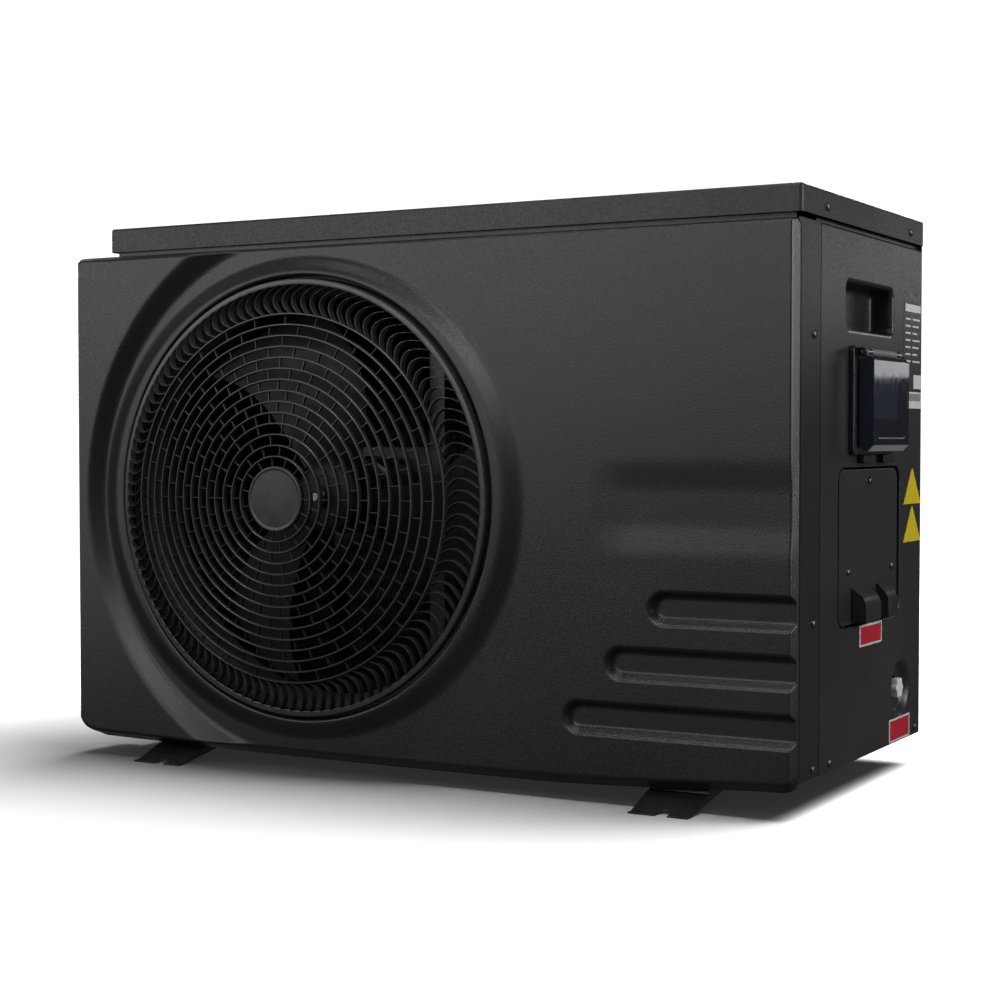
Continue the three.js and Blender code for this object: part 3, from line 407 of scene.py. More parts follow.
def satin_plastic(name, colour, roughness=0.38, relief=0.015):
    """Smooth moulded plastic with faint flow marks."""
    finish = Finish(name)
    pale = tuple(c * 1.25 + 0.002 for c in colour)
    finish.tint(finish.noise(60, 2), [colour, pale])
    finish.rough(finish.noise(14, 3), roughness - 0.05, roughness + 0.07)
    finish.bump(finish.noise(0.9, 1), relief)
    return finish.material


def bare_metal(name, dark, light, roughness, grain):
    """Plain metal with a soft cloudy surface."""
    finish = Finish(name, metallic=1.0)
    finish.tint(finish.noise(grain, 3), [dark, light])
    finish.rough(finish.noise(grain / 3, 3), roughness - 0.08, roughness + 0.12)
    finish.bump(finish.noise(grain / 4, 2), 0.01)
    return finish.material


def spangled_zinc():
    """Galvanised sheet with its crystal spangle."""
    finish = Finish("spangled_zinc", metallic=1.0)
    finish.tint(finish.cells(9), [(0.36, 0.37, 0.385), (0.5, 0.51, 0.52), (0.6, 0.61, 0.62)])
    finish.rough(finish.noise(5, 2), 0.3, 0.5)
    finish.bump(finish.cells(9, "F2"), 0.01)
    return finish.material


def fins_with_painted_gap_shade():
    """Upright aluminium fins, too fine to model: painted shade darkens the gaps between them, and the tube
    rows show faintly between them.
    """
    finish = Finish("fins_with_painted_gap_shade", metallic=0.8)
    finish.set("Roughness", 0.45)
    fin_pitch, tube_pitch = 3.6, 25
    # Painted shade: the stripes keep the fin edges light and paint the gaps between the fins near black.
    edge = finish.math("MAXIMUM", finish.stripes((1, 1, 0), fin_pitch), 0)
    rows = finish.math("MULTIPLY", finish.stripes((0, 0, 1), tube_pitch), 0.12)
    dusty = finish.math("ADD", finish.math("MULTIPLY", finish.noise(40, 3), 0.25), rows)
    shade = finish.math("ADD", finish.math("MULTIPLY", edge, 0.45), dusty)
    finish.tint(shade, [(0.02, 0.021, 0.022), (0.13, 0.134, 0.138), (0.28, 0.286, 0.29)])
    finish.bump(edge, 0.9)
    return finish.material


def circuit_lacquer():
    """Green board with paler copper tracks under the lacquer."""
    finish = Finish("circuit_lacquer")
    tracks = finish.math("MULTIPLY", finish.stripes((1, 0, 0), 5), finish.stripes((0, 1, 0), 7))
    finish.tint(finish.spread(tracks, 0, 1, -1, 1), [(0.012, 0.08, 0.035), (0.035, 0.17, 0.07)])
    finish.rough(finish.noise(6, 2), 0.25, 0.4)
    finish.bump(tracks, 0.03)
    return finish.material


def smoked_clear():
    """Dark blue see-through plastic with a hard gloss."""
    finish = Finish("smoked_clear")
    finish.rough(finish.noise(9, 3), 0.04, 0.09)
    finish.tint(finish.noise(50, 1), [(0.012, 0.0135, 0.023), (0.015, 0.017, 0.028)])
    clear = finish.add("BsdfTransparent", {"Color": (0.36, 0.38, 0.46, 1)})
    mix = finish.add("MixShader", {"Fac": 0.55, 1: clear.outputs[0], 2: finish.shader.outputs[0]})
    finish.links.new(mix.outputs[0], finish.nodes["Material Output"].inputs["Surface"])
    return finish.material


def printed_film(name, colour):
    """A plain coloured plastic film, slightly uneven and faded."""
    finish = Finish(name)
    finish.tint(finish.noise(18, 3), [tuple(c * 0.88 for c in colour), colour])
    finish.rough(finish.noise(7, 2), 0.28, 0.42)
    finish.bump(finish.noise(2.5, 2), 0.006)
    return finish.material


def glowing(name, colour, strength):
    """A lamp or a screen that glows a little."""
    finish = Finish(name)
    finish.set("Roughness", 0.3)
    finish.tint(finish.noise(2, 2), [tuple(c * 0.8 for c in colour), colour])
    finish.set("Emission Color", (*colour, 1))
    finish.set("Emission Strength", strength)
    return finish.material


def studio_floor():
    """Pale matt floor that glows far from the middle, so that only the unit's own shadow shows."""
    finish = Finish("studio_floor")
    finish.set("Roughness", 0.7)
    finish.tint(finish.noise(900, 2), [(0.84, 0.84, 0.845), (0.88, 0.88, 0.88)])
    finish.set("Emission Color", (1, 1, 1, 1))
    reach = finish.add("VectorMath", {0: finish.where})
    reach.operation = "LENGTH"
    glow = finish.spread(reach.outputs["Value"], 0.02, 1, 0.7, 2)
    finish.links.new(glow, finish.shader.inputs["Emission Strength"])
    finish.set("Specular IOR Level", 0.1)
    return finish.material


MOULDED = grained_moulding()
LID_PAINT = powder_coat("lid_coat", (0.011, 0.0105, 0.01), (0.036, 0.0345, 0.034))
CABINET_PAINT = powder_coat("cabinet_coat", (0.012, 0.012, 0.012), (0.036, 0.036, 0.035), 0.04, (0.3, 0.4))
SATIN_BLACK = satin_plastic("satin_black", (0.042, 0.044, 0.043), 0.28)
HUB_SATIN = satin_plastic("hub_satin", (0.03, 0.031, 0.034), 0.32)
DEEP_BLACK = satin_plastic("deep_black", (0.014, 0.015, 0.014), 0.4)
SHROUD_OLIVE = satin_plastic("shroud_olive", (0.04, 0.037, 0.03), 0.6)
BLADE_OLIVE = satin_plastic("blade_olive", (0.007, 0.0065, 0.005), 0.6)
HOUSING = satin_plastic("housing_black", (0.012, 0.012, 0.013), 0.3, 0.02)
HINGE_GREY = satin_plastic("hinge_grey", (0.18, 0.18, 0.18), 0.4)
RUBBER = satin_plastic("soft_rubber", (0.02, 0.02, 0.02), 0.75, 0.04)
GREY_PVC = satin_plastic("grey_pvc", (0.11, 0.117, 0.122), 0.42)
WHITE_PVC = satin_plastic("white_pvc", (0.78, 0.78, 0.75), 0.38)
BLACK_STEEL = satin_plastic("black_enamel", (0.012, 0.012, 0.012), 0.28)
SCREW = bare_metal("blackened_screw", (0.11, 0.11, 0.115), (0.2, 0.2, 0.21), 0.38, 3)
# Painted shade for the screws' cross recesses: near black, standing in for the dark hollow.
PAINTED_RECESS_SHADE = satin_plastic("screw_recess_painted_shade", (0.006, 0.006, 0.006), 0.6)
STEEL = bare_metal("turned_steel", (0.5, 0.5, 0.51), (0.62, 0.62, 0.63), 0.3, 4)
COPPER = bare_metal("drawn_copper", (0.5, 0.22, 0.12), (0.66, 0.34, 0.2), 0.32, 10)
BRASS = bare_metal("cast_brass", (0.5, 0.36, 0.15), (0.62, 0.46, 0.22), 0.36, 6)
ZINC = spangled_zinc()
FINS_WITH_GAP_SHADE = fins_with_painted_gap_shade()
BOARD = circuit_lacquer()
SMOKED = smoked_clear()
SCREEN = glowing("screen_face", (0.2, 0.215, 0.22), 0.9)
WHITE_FILM = printed_film("white_film", (0.8, 0.8, 0.8))
YELLOW_FILM = printed_film("yellow_film", (0.86, 0.66, 0.01))
RED_FILM = printed_film("red_film", (0.6, 0.015, 0.035))
GREY_FILM = printed_film("grey_film", (0.3, 0.3, 0.3))
DARK_FILM = printed_film("dark_film", (0.035, 0.035, 0.036))
RED_LAMP = glowing("red_lamp", (0.9, 0.03, 0.02), 0.9)

# ---------------- front panel


def lifted(t, soft):
    """0 below 0 and t above it, with the corner rounded over soft each way."""
    rounded = (t + soft) ** 2 / (4 * soft)
    return np.where(t < -soft, 0, np.where(t > soft, t, rounded))


def ramp(t, soft=0.15):
    """From 0 at t = 0 to 1 at t = 1, straight between two rounded corners."""
    return lifted(t, soft) - lifted(t - 1, soft)


def bezier(points, steps):
    """Points along a Bezier curve of any order, without its first point."""
    found = []
    for k in range(1, steps + 1):
        level = [Vector(p) for p in points]
        while len(level) > 1:
            level = [a.lerp(b, k / steps) for a, b in zip(level, level[1:])]
        found.append(tuple(level[0]))
    return found


def front_outline():
    """The front panel's edge as (x, z) points, anticlockwise from low on the left side."""
    left, right, chin, top = FRONT_LEFT, WALL_RIGHT, FRONT_BOTTOM, FRONT_TOP
    points = [(left, chin + 32)]
    for steps, *handles in (
        (12, (left, chin + 5), (left + 27, chin + 4)),
        (20, (120, chin + 2), (280, chin), (430, chin)),
        (2, (600, chin)),
        (20, (730, chin), (850, chin + 12), (right - 16, chin + 12)),
        (8, (right, chin + 13), (right, chin + 28)),
        (2, (right, top - 7)),
        (8, (right, top), (right - 7, top)),
        (2, (left + 7, top)),
        (8, (left, top), (left, top - 7)),
    ):
        points += bezier([points[-1], *handles], steps)
    return points


FRONT_EDGE = front_outline()
BOTTOM_EDGE = [p for p in FRONT_EDGE if p[1] < FRONT_BOTTOM + 33]


def bottom_of(x):
    """Height of the front panel's lower edge at x."""
    ordered = sorted(BOTTOM_EDGE)
    return np.interp(x, [p[0] for p in ordered], [p[1] for p in ordered])


def corner_share(x, z):
    """How far up the dish wall a point is: 0 at its foot, 1 at its rim."""
    a, b = x - DISH["x"], z - FAN_Z
    shift = DISH["x_rim"] - DISH["x"]
    growth = DISH["r_rim"] - DISH["r"]
    square = growth ** 2 - shift ** 2
    linear = 2 * (DISH["r"] * growth + shift * a)
    constant = DISH["r"] ** 2 - a ** 2 - b ** 2
    return (-linear + np.sqrt(linear ** 2 - 4 * square * constant)) / (2 * square)


def ellipse_reach(angle, radius_x, radius_z):
    """Distance from an ellipse's centre to its edge."""
    return 1 / np.sqrt((np.cos(angle) / radius_x) ** 2 + (np.sin(angle) / radius_z) ** 2)


def front_level(x, z):
    """How far the front panel stands in front of its main face, leaving out its outer edge."""
    corner = np.where(x < 320, CORNER_RISE * ramp(corner_share(x, z) / 0.9, 0.2), 0)
    angle = np.arctan2(z - FAN_Z, x - FAN_X)
    reach = np.hypot(x - FAN_X, z - FAN_Z)
    foot = ellipse_reach(angle, *RING_FOOT)
    brow = ellipse_reach(angle, *RING_BROW)
    ring = RING_RISE * ramp((foot - reach) / (foot - brow), 0.25)
    mouth_radius = 3
    inner = np.clip(1 - (reach - OPENING_RADIUS) / mouth_radius, 0, 1)
    ring = ring - mouth_radius * (1 - np.sqrt(1 - inner ** 2))
    band = ramp((x - BAND["x"]) / 50) * ramp((z - BAND["low"]) / 30) * (1 - ramp((z - BAND["high"]) / 30))
    return np.maximum(corner, ring) - BAND["depth"] * band


def groove_level(x, z):
    """How deep a grip groove is at a point."""
    depth = np.zeros_like(x)
    wall = 7.5
    for left, centre in GROOVES:
        along = np.minimum(x - left - GROOVE_HALF, 0)
        reach = np.hypot(along, z - centre)
        depth = np.maximum(depth, GROOVE_DEPTH * ramp((GROOVE_HALF + 0.5 - reach) / wall, 0.16))
    return depth


def front_surface(x, z):
    """y of the front panel's outer surface."""
    left_round, right_round, chin_round = 3.2, 5, 10
    rise = front_level(x, z)
    top_round = 4.5 + 3 * np.clip(rise / CORNER_RISE, 0, 1)
    left = np.clip(1 - (x - FRONT_LEFT) / left_round, 0, 1)
    top = np.clip(1 - (FRONT_TOP - z) / top_round, 0, 1)
    bottom = np.clip((z - bottom_of(x)) / chin_round, 0, 2)
    right = np.clip((WALL_RIGHT - x) / right_round, 0, 2)
    edge = np.sqrt(1 - left ** 2) * np.sqrt(1 - top ** 2)
    edge = edge * (ramp(bottom, 0.2) - ramp(0.0, 0.2))
    edge = edge * (1 - lifted(1 - right, 0.22))
    y = BASE_PLANE + (FACE_PLANE - BASE_PLANE - rise) * edge
    groove = FACE_PLANE + groove_level(x, z)
    return np.where(groove > FACE_PLANE + 0.01, np.maximum(y, groove), y)


def spaced(low, high, step):
    """Evenly spaced numbers from low to high, about a step apart."""
    return list(np.linspace(low, high, max(2, round((high - low) / step) + 1)))


def nominal_heights():
    """Heights of the mesh's rows on the right, closer together where the shape turns sharply."""
    groove_top = GROOVES[0][1] + 25
    low = spaced(FRONT_BOTTOM, 0, 1.6)
    grooves = spaced(0, groove_top, 2.0)
    middle = spaced(groove_top, CROWN_ZONE, 4.5)
    top = spaced(CROWN_ZONE, FRONT_TOP - 5, 2.5) + spaced(FRONT_TOP - 5, FRONT_TOP, 0.7)
    return sorted(set(np.round(low + grooves + middle + top, 3)))


def edge_reach(angle):
    """Distance from the fan's centre to the polar mesh's outer edge."""
    direction = np.array([math.cos(angle), math.sin(angle)])
    best = math.inf
    loop = [np.array(p) - (FAN_X, FAN_Z) for p in FRONT_EDGE]
    for a, b in zip(loop, loop[1:] + loop[:1]):
        side = b - a
        cross = direction[0] * side[1] - direction[1] * side[0]
        if abs(cross) < 1e-9:
            continue
        reach = (a[0] * side[1] - a[1] * side[0]) / cross
        along = (a[0] * direction[1] - a[1] * direction[0]) / cross
        if reach > 0 and -1e-9 <= along <= 1 + 1e-9:
            best = min(best, reach)
    if direction[0] > 0:
        best = min(best, (SPLIT_X - FAN_X) / direction[0])
    return best


def front_panel():
    """The moulded face: one sheet from the fan opening's lip out to the panel's edge, and one beside it."""
    heights = nominal_heights()
    right_angles = [math.atan2(z - FAN_Z, SPLIT_X - FAN_X) for z in heights]
    turns = spaced(right_angles[-1], 2 * math.pi + right_angles[0], math.radians(0.55))
    angles = right_angles + turns[1:-1]
    reaches = np.array([edge_reach(t) for t in angles])
    angles = np.array(angles)
    form = Form()

    def around(radius):
        return FAN_X + radius * np.cos(angles), FAN_Z + radius * np.sin(angles)

    # From the lip inside the fan opening, out over the ring and the corner fields, to the edge.
    rows = []
    for lip_y in (-6.0, -14.0):
        x, z = around(OPENING_RADIUS)
        rows.append(list(zip(x, np.full_like(x, lip_y), z)))
    shares = spaced(0, 0.02, 0.004)[:-1] + spaced(0.02, 0.95, 0.0165)[:-1] + spaced(0.95, 1, 0.0065)
    for share in shares:
        x, z = around(OPENING_RADIUS + (reaches - OPENING_RADIUS) * share)
        rows.append(list(zip(x, front_surface(x, z), z)))
    form.sheet(rows, loop_columns=True)

    # The square part on the right shares the polar part's points along the split line.
    columns = spaced(SPLIT_X, 800, 2.0)[:-1] + spaced(800, 915, 4.0)[:-1] + spaced(915, WALL_RIGHT, 0.8)
    nominal = np.array(heights)
    corner_radius = 7
    rows = []
    for x in columns:
        inside = max(0.0, x - (WALL_RIGHT - corner_radius))
        high = FRONT_TOP - corner_radius + math.sqrt(max(0.0, corner_radius ** 2 - inside ** 2))
        chin_scale = (CHIN_ZONE - bottom_of(x)) / (CHIN_ZONE - FRONT_BOTTOM)
        crown_scale = (high - CROWN_ZONE) / (FRONT_TOP - CROWN_ZONE)
        z = np.where(nominal < CHIN_ZONE, CHIN_ZONE - (CHIN_ZONE - nominal) * chin_scale, nominal)
        z = np.where(nominal > CROWN_ZONE, CROWN_ZONE + (nominal - CROWN_ZONE) * crown_scale, z)
        across = np.full_like(z, x)
        rows.append(list(zip(across, front_surface(across, z), z)))
    form.sheet(rows)
    make("front_face", form, MOULDED, replaces=["front_panel"], sharp=60)


def front_returns():
    """The edge of the front panel behind its face: skirt, left return, right wrap and neck."""
    form = Form()
    skirt = [[(x, y, z) for x, z in FRONT_EDGE] for y in (BASE_PLANE, -1.5, 0.5, 1.5)]
    form.sheet(skirt, loop_columns=True)
    left = [p for p in FRONT_EDGE if p[0] < 0]
    low = [p for p in left if p[1] < 100]
    high = [p for p in left if p[1] > 100]
    outline = [(0.9, high[0][1])] + high + low + [(0.9, low[-1][1])]
    form.stack("y", polygon(outline), slab_profile(BASE_PLANE + 0.2, WRAP_BACK, 1.2))
    wrap = rounded_rect(BASE_PLANE + 1.5, WRAP_BACK, 1, SHOULDER, 2.4)
    form.slab("x", wrap, WALL_RIGHT - 3, WALL_RIGHT, 1.4)
    form.box(WALL_LEFT + 8, WALL_RIGHT - 8, 6, 9, FRONT_TOP - 3, PANEL_TOP)
    form.box(WALL_LEFT + 2, WALL_RIGHT - 2, BASE_PLANE + 1.5, 9, FRONT_TOP - 3, FRONT_TOP - 0.4)
    make("front_returns", form, MOULDED)


# ---------------- grille and fan

RING_PITCH = (GRILLE_DOME_RADIUS - RING_START) / (RING_COUNT - 1)


def dome_y(radius):
    """y of the grille's outer surface at a radius."""
    if radius <= GRILLE_DOME_RADIUS:
        t = (radius - GRILLE_HUB_RADIUS) / (GRILLE_DOME_RADIUS - GRILLE_HUB_RADIUS)
        return HUB_Y + (DOME_Y - HUB_Y) * t * t
    t = (radius - GRILLE_DOME_RADIUS) / (GRILLE_RADIUS - 7 - GRILLE_DOME_RADIUS)
    return DOME_Y + (RIM_Y - DOME_Y) * (1 - math.sqrt(max(0.0, 1 - t * t)))


def around_fan(radius, angle, y):
    """A point at a radius and an angle about the fan's axis."""
    return (FAN_X + radius * math.cos(angle), y, FAN_Z + radius * math.sin(angle))


def blade_section(radius, angle, y, half, depth):
    """A thin section across the radius: front edge rounded, square behind."""
    lean = half / radius
    marks = [(-1, depth), (-1, 0.5), (-0.5, 0), (0.5, 0), (1, 0.5), (1, depth)]
    return [around_fan(radius, angle + side * lean, y + back) for side, back in marks]


def fan_grille():
    """The domed grille: a rim, fine rings, short ribs between them and bowed vanes round them."""
    form = Form()
    inner, outer = GRILLE_RADIUS - 7.5, GRILLE_RADIUS
    rim = [(inner, RIM_Y + 12), (inner, RIM_Y + 1.6), (inner + 0.5, RIM_Y + 0.5), (inner + 1.8, RIM_Y)]
    rim += [(outer - 1.8, RIM_Y), (outer - 0.5, RIM_Y + 0.5), (outer, RIM_Y + 1.6), (outer, RIM_Y + 12)]
    form.turned("y", FAN_X, FAN_Z, rim, 180, closed=True)
    for k in range(RING_COUNT):
        radius = RING_START + RING_PITCH * k
        y = dome_y(radius)
        half = 0.95
        ring = [(radius - half, y + 6), (radius - half, y + 0.6), (radius - 0.45, y), (radius + 0.45, y)]
        ring += [(radius + half, y + 0.6), (radius + half, y + 6)]
        form.turned("y", FAN_X, FAN_Z, ring, 144, closed=True)
    for k in range(RING_COUNT):
        ribs(form, k)
    for k in range(VANE_COUNT):
        vane(form, 2 * math.pi * k / VANE_COUNT)
    make("fan_grille_fine", form, SATIN_BLACK, replaces=["fan_grille"])


def ribs(form, gap):
    """Short radial ribs across one gap between rings, offset in every second gap like bricks."""
    outer = RING_START + RING_PITCH * gap
    inner = outer - RING_PITCH
    count = 30 if outer > 95 else 15
    for i in range(count):
        angle = 2 * math.pi * (i + 0.5 * (gap % 2)) / count
        rows = [blade_section(r, angle, dome_y(max(r, 38)) + 1.8, 0.5, 3.6) for r in (inner, outer)]
        form.sheet(rows, loop_columns=True, ends=True)


def vane(form, angle):
    """One bowed vane between the dome and the rim."""
    steps = 10
    rows = []
    for k in range(steps + 1):
        share = k / steps
        radius = GRILLE_DOME_RADIUS + (GRILLE_RADIUS - 6.5 - GRILLE_DOME_RADIUS) * share
        bow = VANE_BOW * 4 * share * (1 - share) / radius
        rows.append(blade_section(radius, angle + bow, dome_y(min(radius, 253)) + 1.6, 0.55, 9.5))
    form.sheet(rows, loop_columns=True, ends=True)


def grille_hub():
    """The plain disc in the grille's middle, with a raised rim and a slightly dished face."""
    form = Form()
    rim = [(0, 6), (0, 1.5), (0.5, 0.5), (1.6, 0), (3, 0.1), (4, 0.7), (5, 0.8)]
    profile = [(GRILLE_HUB_RADIUS - inset, HUB_Y + depth) for inset, depth in rim]
    profile += [(20, HUB_Y + 0.55), (8, HUB_Y + 0.4), (1, HUB_Y + 0.38)]
    form.turned("y", FAN_X, FAN_Z, profile, 96)
    make("grille_hub_disc", form, HUB_SATIN)


def fan_shroud():
    """A flat plate with a bell mouth that leads the air through the fan."""
    form = Form()
    hole = circle(FAN_X, FAN_Z, 144)
    plate = rounded_rect(8, 604, 6, 586, 2)
    form.holed_slab("y", plate, [lambda inset: hole(262 + inset)], 6, 9)
    bell = [(262, -5), (265, -5), (264.4, 1), (262.6, 7), (259, 12.6), (253.4, 17.4), (247.5, 22)]
    bell += [(246.2, 28), (246, 62), (243, 62), (243, 27), (244, 20.5), (249.6, 15.2), (255.6, 10)]
    bell += [(259.6, 4.6), (261.4, 0)]
    form.turned("y", FAN_X, FAN_Z, bell, 144, closed=True)
    make("shroud_bell", form, SHROUD_OLIVE, replaces=["fan_shroud"])


def fan():
    """The hub and its three swept blades, in one moulding."""
    form = Form()
    hub = [(5.3, 30.1), (24, 30.3), (33, 32), (40, 35), (44.5, 40), (46, 46), (46, 91), (45, 92), (42, 92)]
    hub += [(42, 44), (14, 44), (14, 92), (5.3, 92)]
    form.turned("y", FAN_X, FAN_Z, hub, 72, closed=True)
    for i in range(BLADE_COUNT):
        fan_blade(form, math.radians(100) + 2 * math.pi * i / BLADE_COUNT)
    make("fan_blades", form, BLADE_OLIVE, body="rotor", replaces=["fan_blade"])


def fan_blade(form, turn):
    """One swept, twisted blade, thinner towards its edges."""
    across, along = 18, 16
    root, tip = 43, 232

    def point(u, v, side):
        radius = root + (tip - root) * v
        sweep = 0.35 * v * v
        width = 0.95 - 0.25 * v
        pitch = 64 - 14 * v
        thick = 1.6 * side * math.sqrt(max(0.0, 1 - (2 * u - 1) ** 4))
        return around_fan(radius, turn + sweep + width * (u - 0.5), 62 + pitch * (0.5 - u) + thick)

    rows = []
    for j in range(along + 1):
        v = j / along
        front = [point(i / across, v, -1) for i in range(across + 1)]
        back = [point(i / across, v, 1) for i in range(across - 1, 0, -1)]
        rows.append(front + back)
    form.sheet(rows, loop_columns=True, ends=True)


def fan_motor():
    """The motor's can, with cooling ribs along it."""
    form = Form()
    back = MOTOR_BACK
    can = [(6, 136), (6, 104.3), (20, 104.3), (21.5, 112), (44, 116), (47, 118), (48, 122), (48, back - 10)]
    can += [(46.5, back - 5), (40, back - 1), (38, back), (4, back)]
    form.turned("y", FAN_X, FAN_Z, can, 64)
    ribs_around = 12
    for i in range(ribs_around):
        x, _, z = around_fan(47.6, 2 * math.pi * i / ribs_around, 0)
        form.rod("y", x, z, 1.4, 124, back - 12, 0.5, 10)
    make("fan_motor_can", form, BLACK_STEEL, replaces=["fan_motor"])


# ---------------- cabinet


FOLD_TURNS = [math.radians(15 * k) for k in range(7)]


def lid():
    """A folded lid: rounded outside, open below, with the edge of its sheet showing."""
    form = Form()
    profile = [(SHEET, HEIGHT - SHEET), (SHEET, LID_BOTTOM + 0.3), (0.9, LID_BOTTOM), (0.3, LID_BOTTOM)]
    profile += [(0, LID_BOTTOM + 0.3)]
    profile += [(FOLD - FOLD * math.cos(t), HEIGHT - FOLD + FOLD * math.sin(t)) for t in FOLD_TURNS]
    form.stack("z", rounded_rect(0, WIDTH, 0, DEPTH, 5), profile)
    make("lid_shell", form, LID_PAINT, replaces=["lid"])


def grown(box, extra, radius):
    """A rounded rectangle an extra width larger than a (low, high, low, high) box on every side."""
    u0, u1, v0, v1 = box
    return rounded_rect(u0 - extra, u1 + extra, v0 - extra, v1 + extra, radius)


SIDE_FRONT, SIDE_BACK = WRAP_BACK + 0.6, WALL_BACK - SHEET - 0.3  # y limits of both side panels
SIDE_FACE = WALL_RIGHT - 0.05  # the pressed parts start just under the right side's skin


def right_side_panel():
    """The right wall, with its handle opening, wiring recess and drain dimple."""
    form = Form()
    outer = rounded_rect(SIDE_FRONT, SIDE_BACK, 0.6, SHOULDER - FOLD, 1)
    dimple = circle(DRAIN_Y, DRAIN_Z, 72)
    holes = [grown(HANDLE, 5, 14), grown(ACCESS, 2, 19), lambda inset: dimple(DRAIN_RADIUS + 2 + inset)]
    form.holed_slab("x", outer, holes, WALL_RIGHT - SHEET, WALL_RIGHT, 0.1)

    # The wall rounds inward at its shoulder and goes up inside the lid.
    bend_x, bend_z = WALL_RIGHT - FOLD, SHOULDER - FOLD
    step_out, step_in = WALL_RIGHT - 6, WALL_RIGHT - 6 - SHEET
    fold = [(bend_x + FOLD * math.cos(t), bend_z + FOLD * math.sin(t)) for t in FOLD_TURNS]
    fold += [(step_out, SHOULDER), (step_out, PANEL_TOP), (step_in, PANEL_TOP), (step_in, SHOULDER - SHEET)]
    fold += [(bend_x, SHOULDER - SHEET), (WALL_RIGHT - SHEET, bend_z)]
    rows = [[(x, y, z) for x, z in fold] for y in (SIDE_FRONT, SIDE_BACK)]
    form.sheet(rows, loop_columns=True, ends=True)

    # The pressed edge of the wiring recess rolls inward and stops short of the cover.
    roll = [(0, 0), (0.5, -0.1), (1.0, -0.5), (1.3, -1.1), (1.4, -2.0), (1.4, -4)]
    pressed(form, grown(ACCESS, 2.2, 19.2), roll)

    # The dimple round the drain is a soft bowl with a flat floor and a bored middle.
    bowl = [(37, 0), (35.6, -0.15), (34, -0.8), (32, -2.4), (30, -4.8), (28, -7.2), (26, -9.0)]
    bowl += [(24, -9.75), (21, -9.9), (14.6, -9.9), (14, -10.4), (14, -12)]
    pressed(form, dimple, bowl)
    make("right_panel_skin", form, CABINET_PAINT, replaces=["right_side_panel"])


def pressed(form, outline, profile):
    """A shape pressed into the right side; its profile's levels count from the face."""
    form.stack("x", outline, [(inset, SIDE_FACE + level) for inset, level in profile], ends=False)


def handle_cup():
    """The carrying recess: a moulded cup with a rolled lip and a flat floor."""
    form = Form()
    cup = [(0, 0), (0.8, -0.1), (2.0, -0.5), (3.2, -1.5), (4.2, -3.0), (4.8, -5.0), (5, -7)]
    cup += [(5.6, -22), (6.0, -25), (7.2, -27.0), (9.5, -28.0), (12, -28.2), (16, -28.2)]
    pressed(form, grown(HANDLE, 5.1, 14), cup)
    form.slab("x", grown(HANDLE, -11, 2), SIDE_FACE - 29, SIDE_FACE - 28.2, 0.1)
    make("handle_bowl", form, DEEP_BLACK, replaces=["handle_cup"])


def window_grid(columns, rows, first, pitch, size):
    """Rounded windows in rows and columns; first, pitch and size are (across, up)."""
    found = []
    for column in range(columns):
        for row in range(rows):
            u, v = first[0] + pitch[0] * column, first[1] + pitch[1] * row
            found.append(rounded_rect(u, u + size[0], v, v + size[1], 4, 4))
    return found


def left_side_panel():
    """The left wall, with windows that let air into the coil."""
    form = Form()
    outer = rounded_rect(SIDE_FRONT, SIDE_BACK, 0.6, PANEL_TOP, 1)
    windows = window_grid(3, 8, first=(120, 60), pitch=(90, 62), size=(76, 46))
    form.holed_slab("x", outer, windows, WALL_LEFT, WALL_LEFT + SHEET)
    make("left_panel_skin", form, CABINET_PAINT, replaces=["left_side_panel"])


def rear_guard():
    """The back's larger part, with windows in front of the coil."""
    form = Form()
    outer = rounded_rect(WALL_LEFT, GUARD_RIGHT, 0.6, PANEL_TOP, 1)
    windows = window_grid(6, 8, first=(34, 44), pitch=(98, 67), size=(86, 53))
    form.holed_slab("y", outer, windows, WALL_BACK - SHEET, WALL_BACK)
    make("rear_guard_sheet", form, CABINET_PAINT, replaces=["rear_guard"])


def rear_panel():
    """The back's closed part, with two holes for the water ports."""
    form = Form()
    outer = rounded_rect(GUARD_RIGHT + 1, WALL_RIGHT - 0.3, 0.6, PANEL_TOP, 1)
    holes = []
    for z in (INLET_Z, OUTLET_Z):
        port = circle(WATER_X, z, 72)
        holes.append(lambda inset, port=port: port(34 + inset))
    form.holed_slab("y", outer, holes, WALL_BACK - SHEET, WALL_BACK)
    make("rear_panel_sheet", form, CABINET_PAINT, replaces=["rear_panel"])


def access_cover():
    """The flat cover in the wiring recess, with a hole under each cable hood."""
    form = Form()
    back = limits("access_cover")[0].x
    hoods = [limits("cable_hood_large"), limits("cable_hood_small")]
    holes = [rounded_rect(low.y + 6, high.y - 6, 163, 183, 2, 3) for low, high in hoods]
    y_low, y_high, z_low, z_high = ACCESS
    plate = rounded_rect(y_low + 6, y_high - 6, z_low + 1.5, z_high - 1.5, 13)
    form.holed_slab("x", plate, holes, back, back + 2, 0.6)
    make("access_cover_plate", form, CABINET_PAINT, replaces=["access_cover"])


def coil_fins():
    """The L-shaped fin pack, with copper return bends at its end by the partition."""
    soften("evaporator_coil", FINS_WITH_GAP_SHADE, 0.3, 1)
    form = Form()
    coil_end = limits("evaporator_coil")[1]
    reach, half_height = 5, 8
    tube = circle(coil_end.y - 15, 0, 8)
    for k in range(BEND_COUNT):
        rows = []
        for step in range(9):
            t = math.pi * step / 8
            x = coil_end.x - 1 + reach * math.sin(t)
            z = 24 + BEND_PITCH * k - half_height * math.cos(t)
            rows.append([(x, y, z + up) for y, up in tube(2.6)])
        form.sheet(rows, loop_columns=True, ends=True)
    make("coil_return_bends", form, COPPER)


# ---------------- water ports


def lobed(a, b, lobes, rise, sides):
    """A function from a radius to the points of a lobed ring round (a, b)."""

    def outline(radius):
        points = []
        for k in range(sides):
            t = 2 * math.pi * k / sides
            reach = radius + rise * math.cos(lobes * t)
            points.append((a + reach * math.cos(t), b + reach * math.sin(t)))
        return points

    return outline


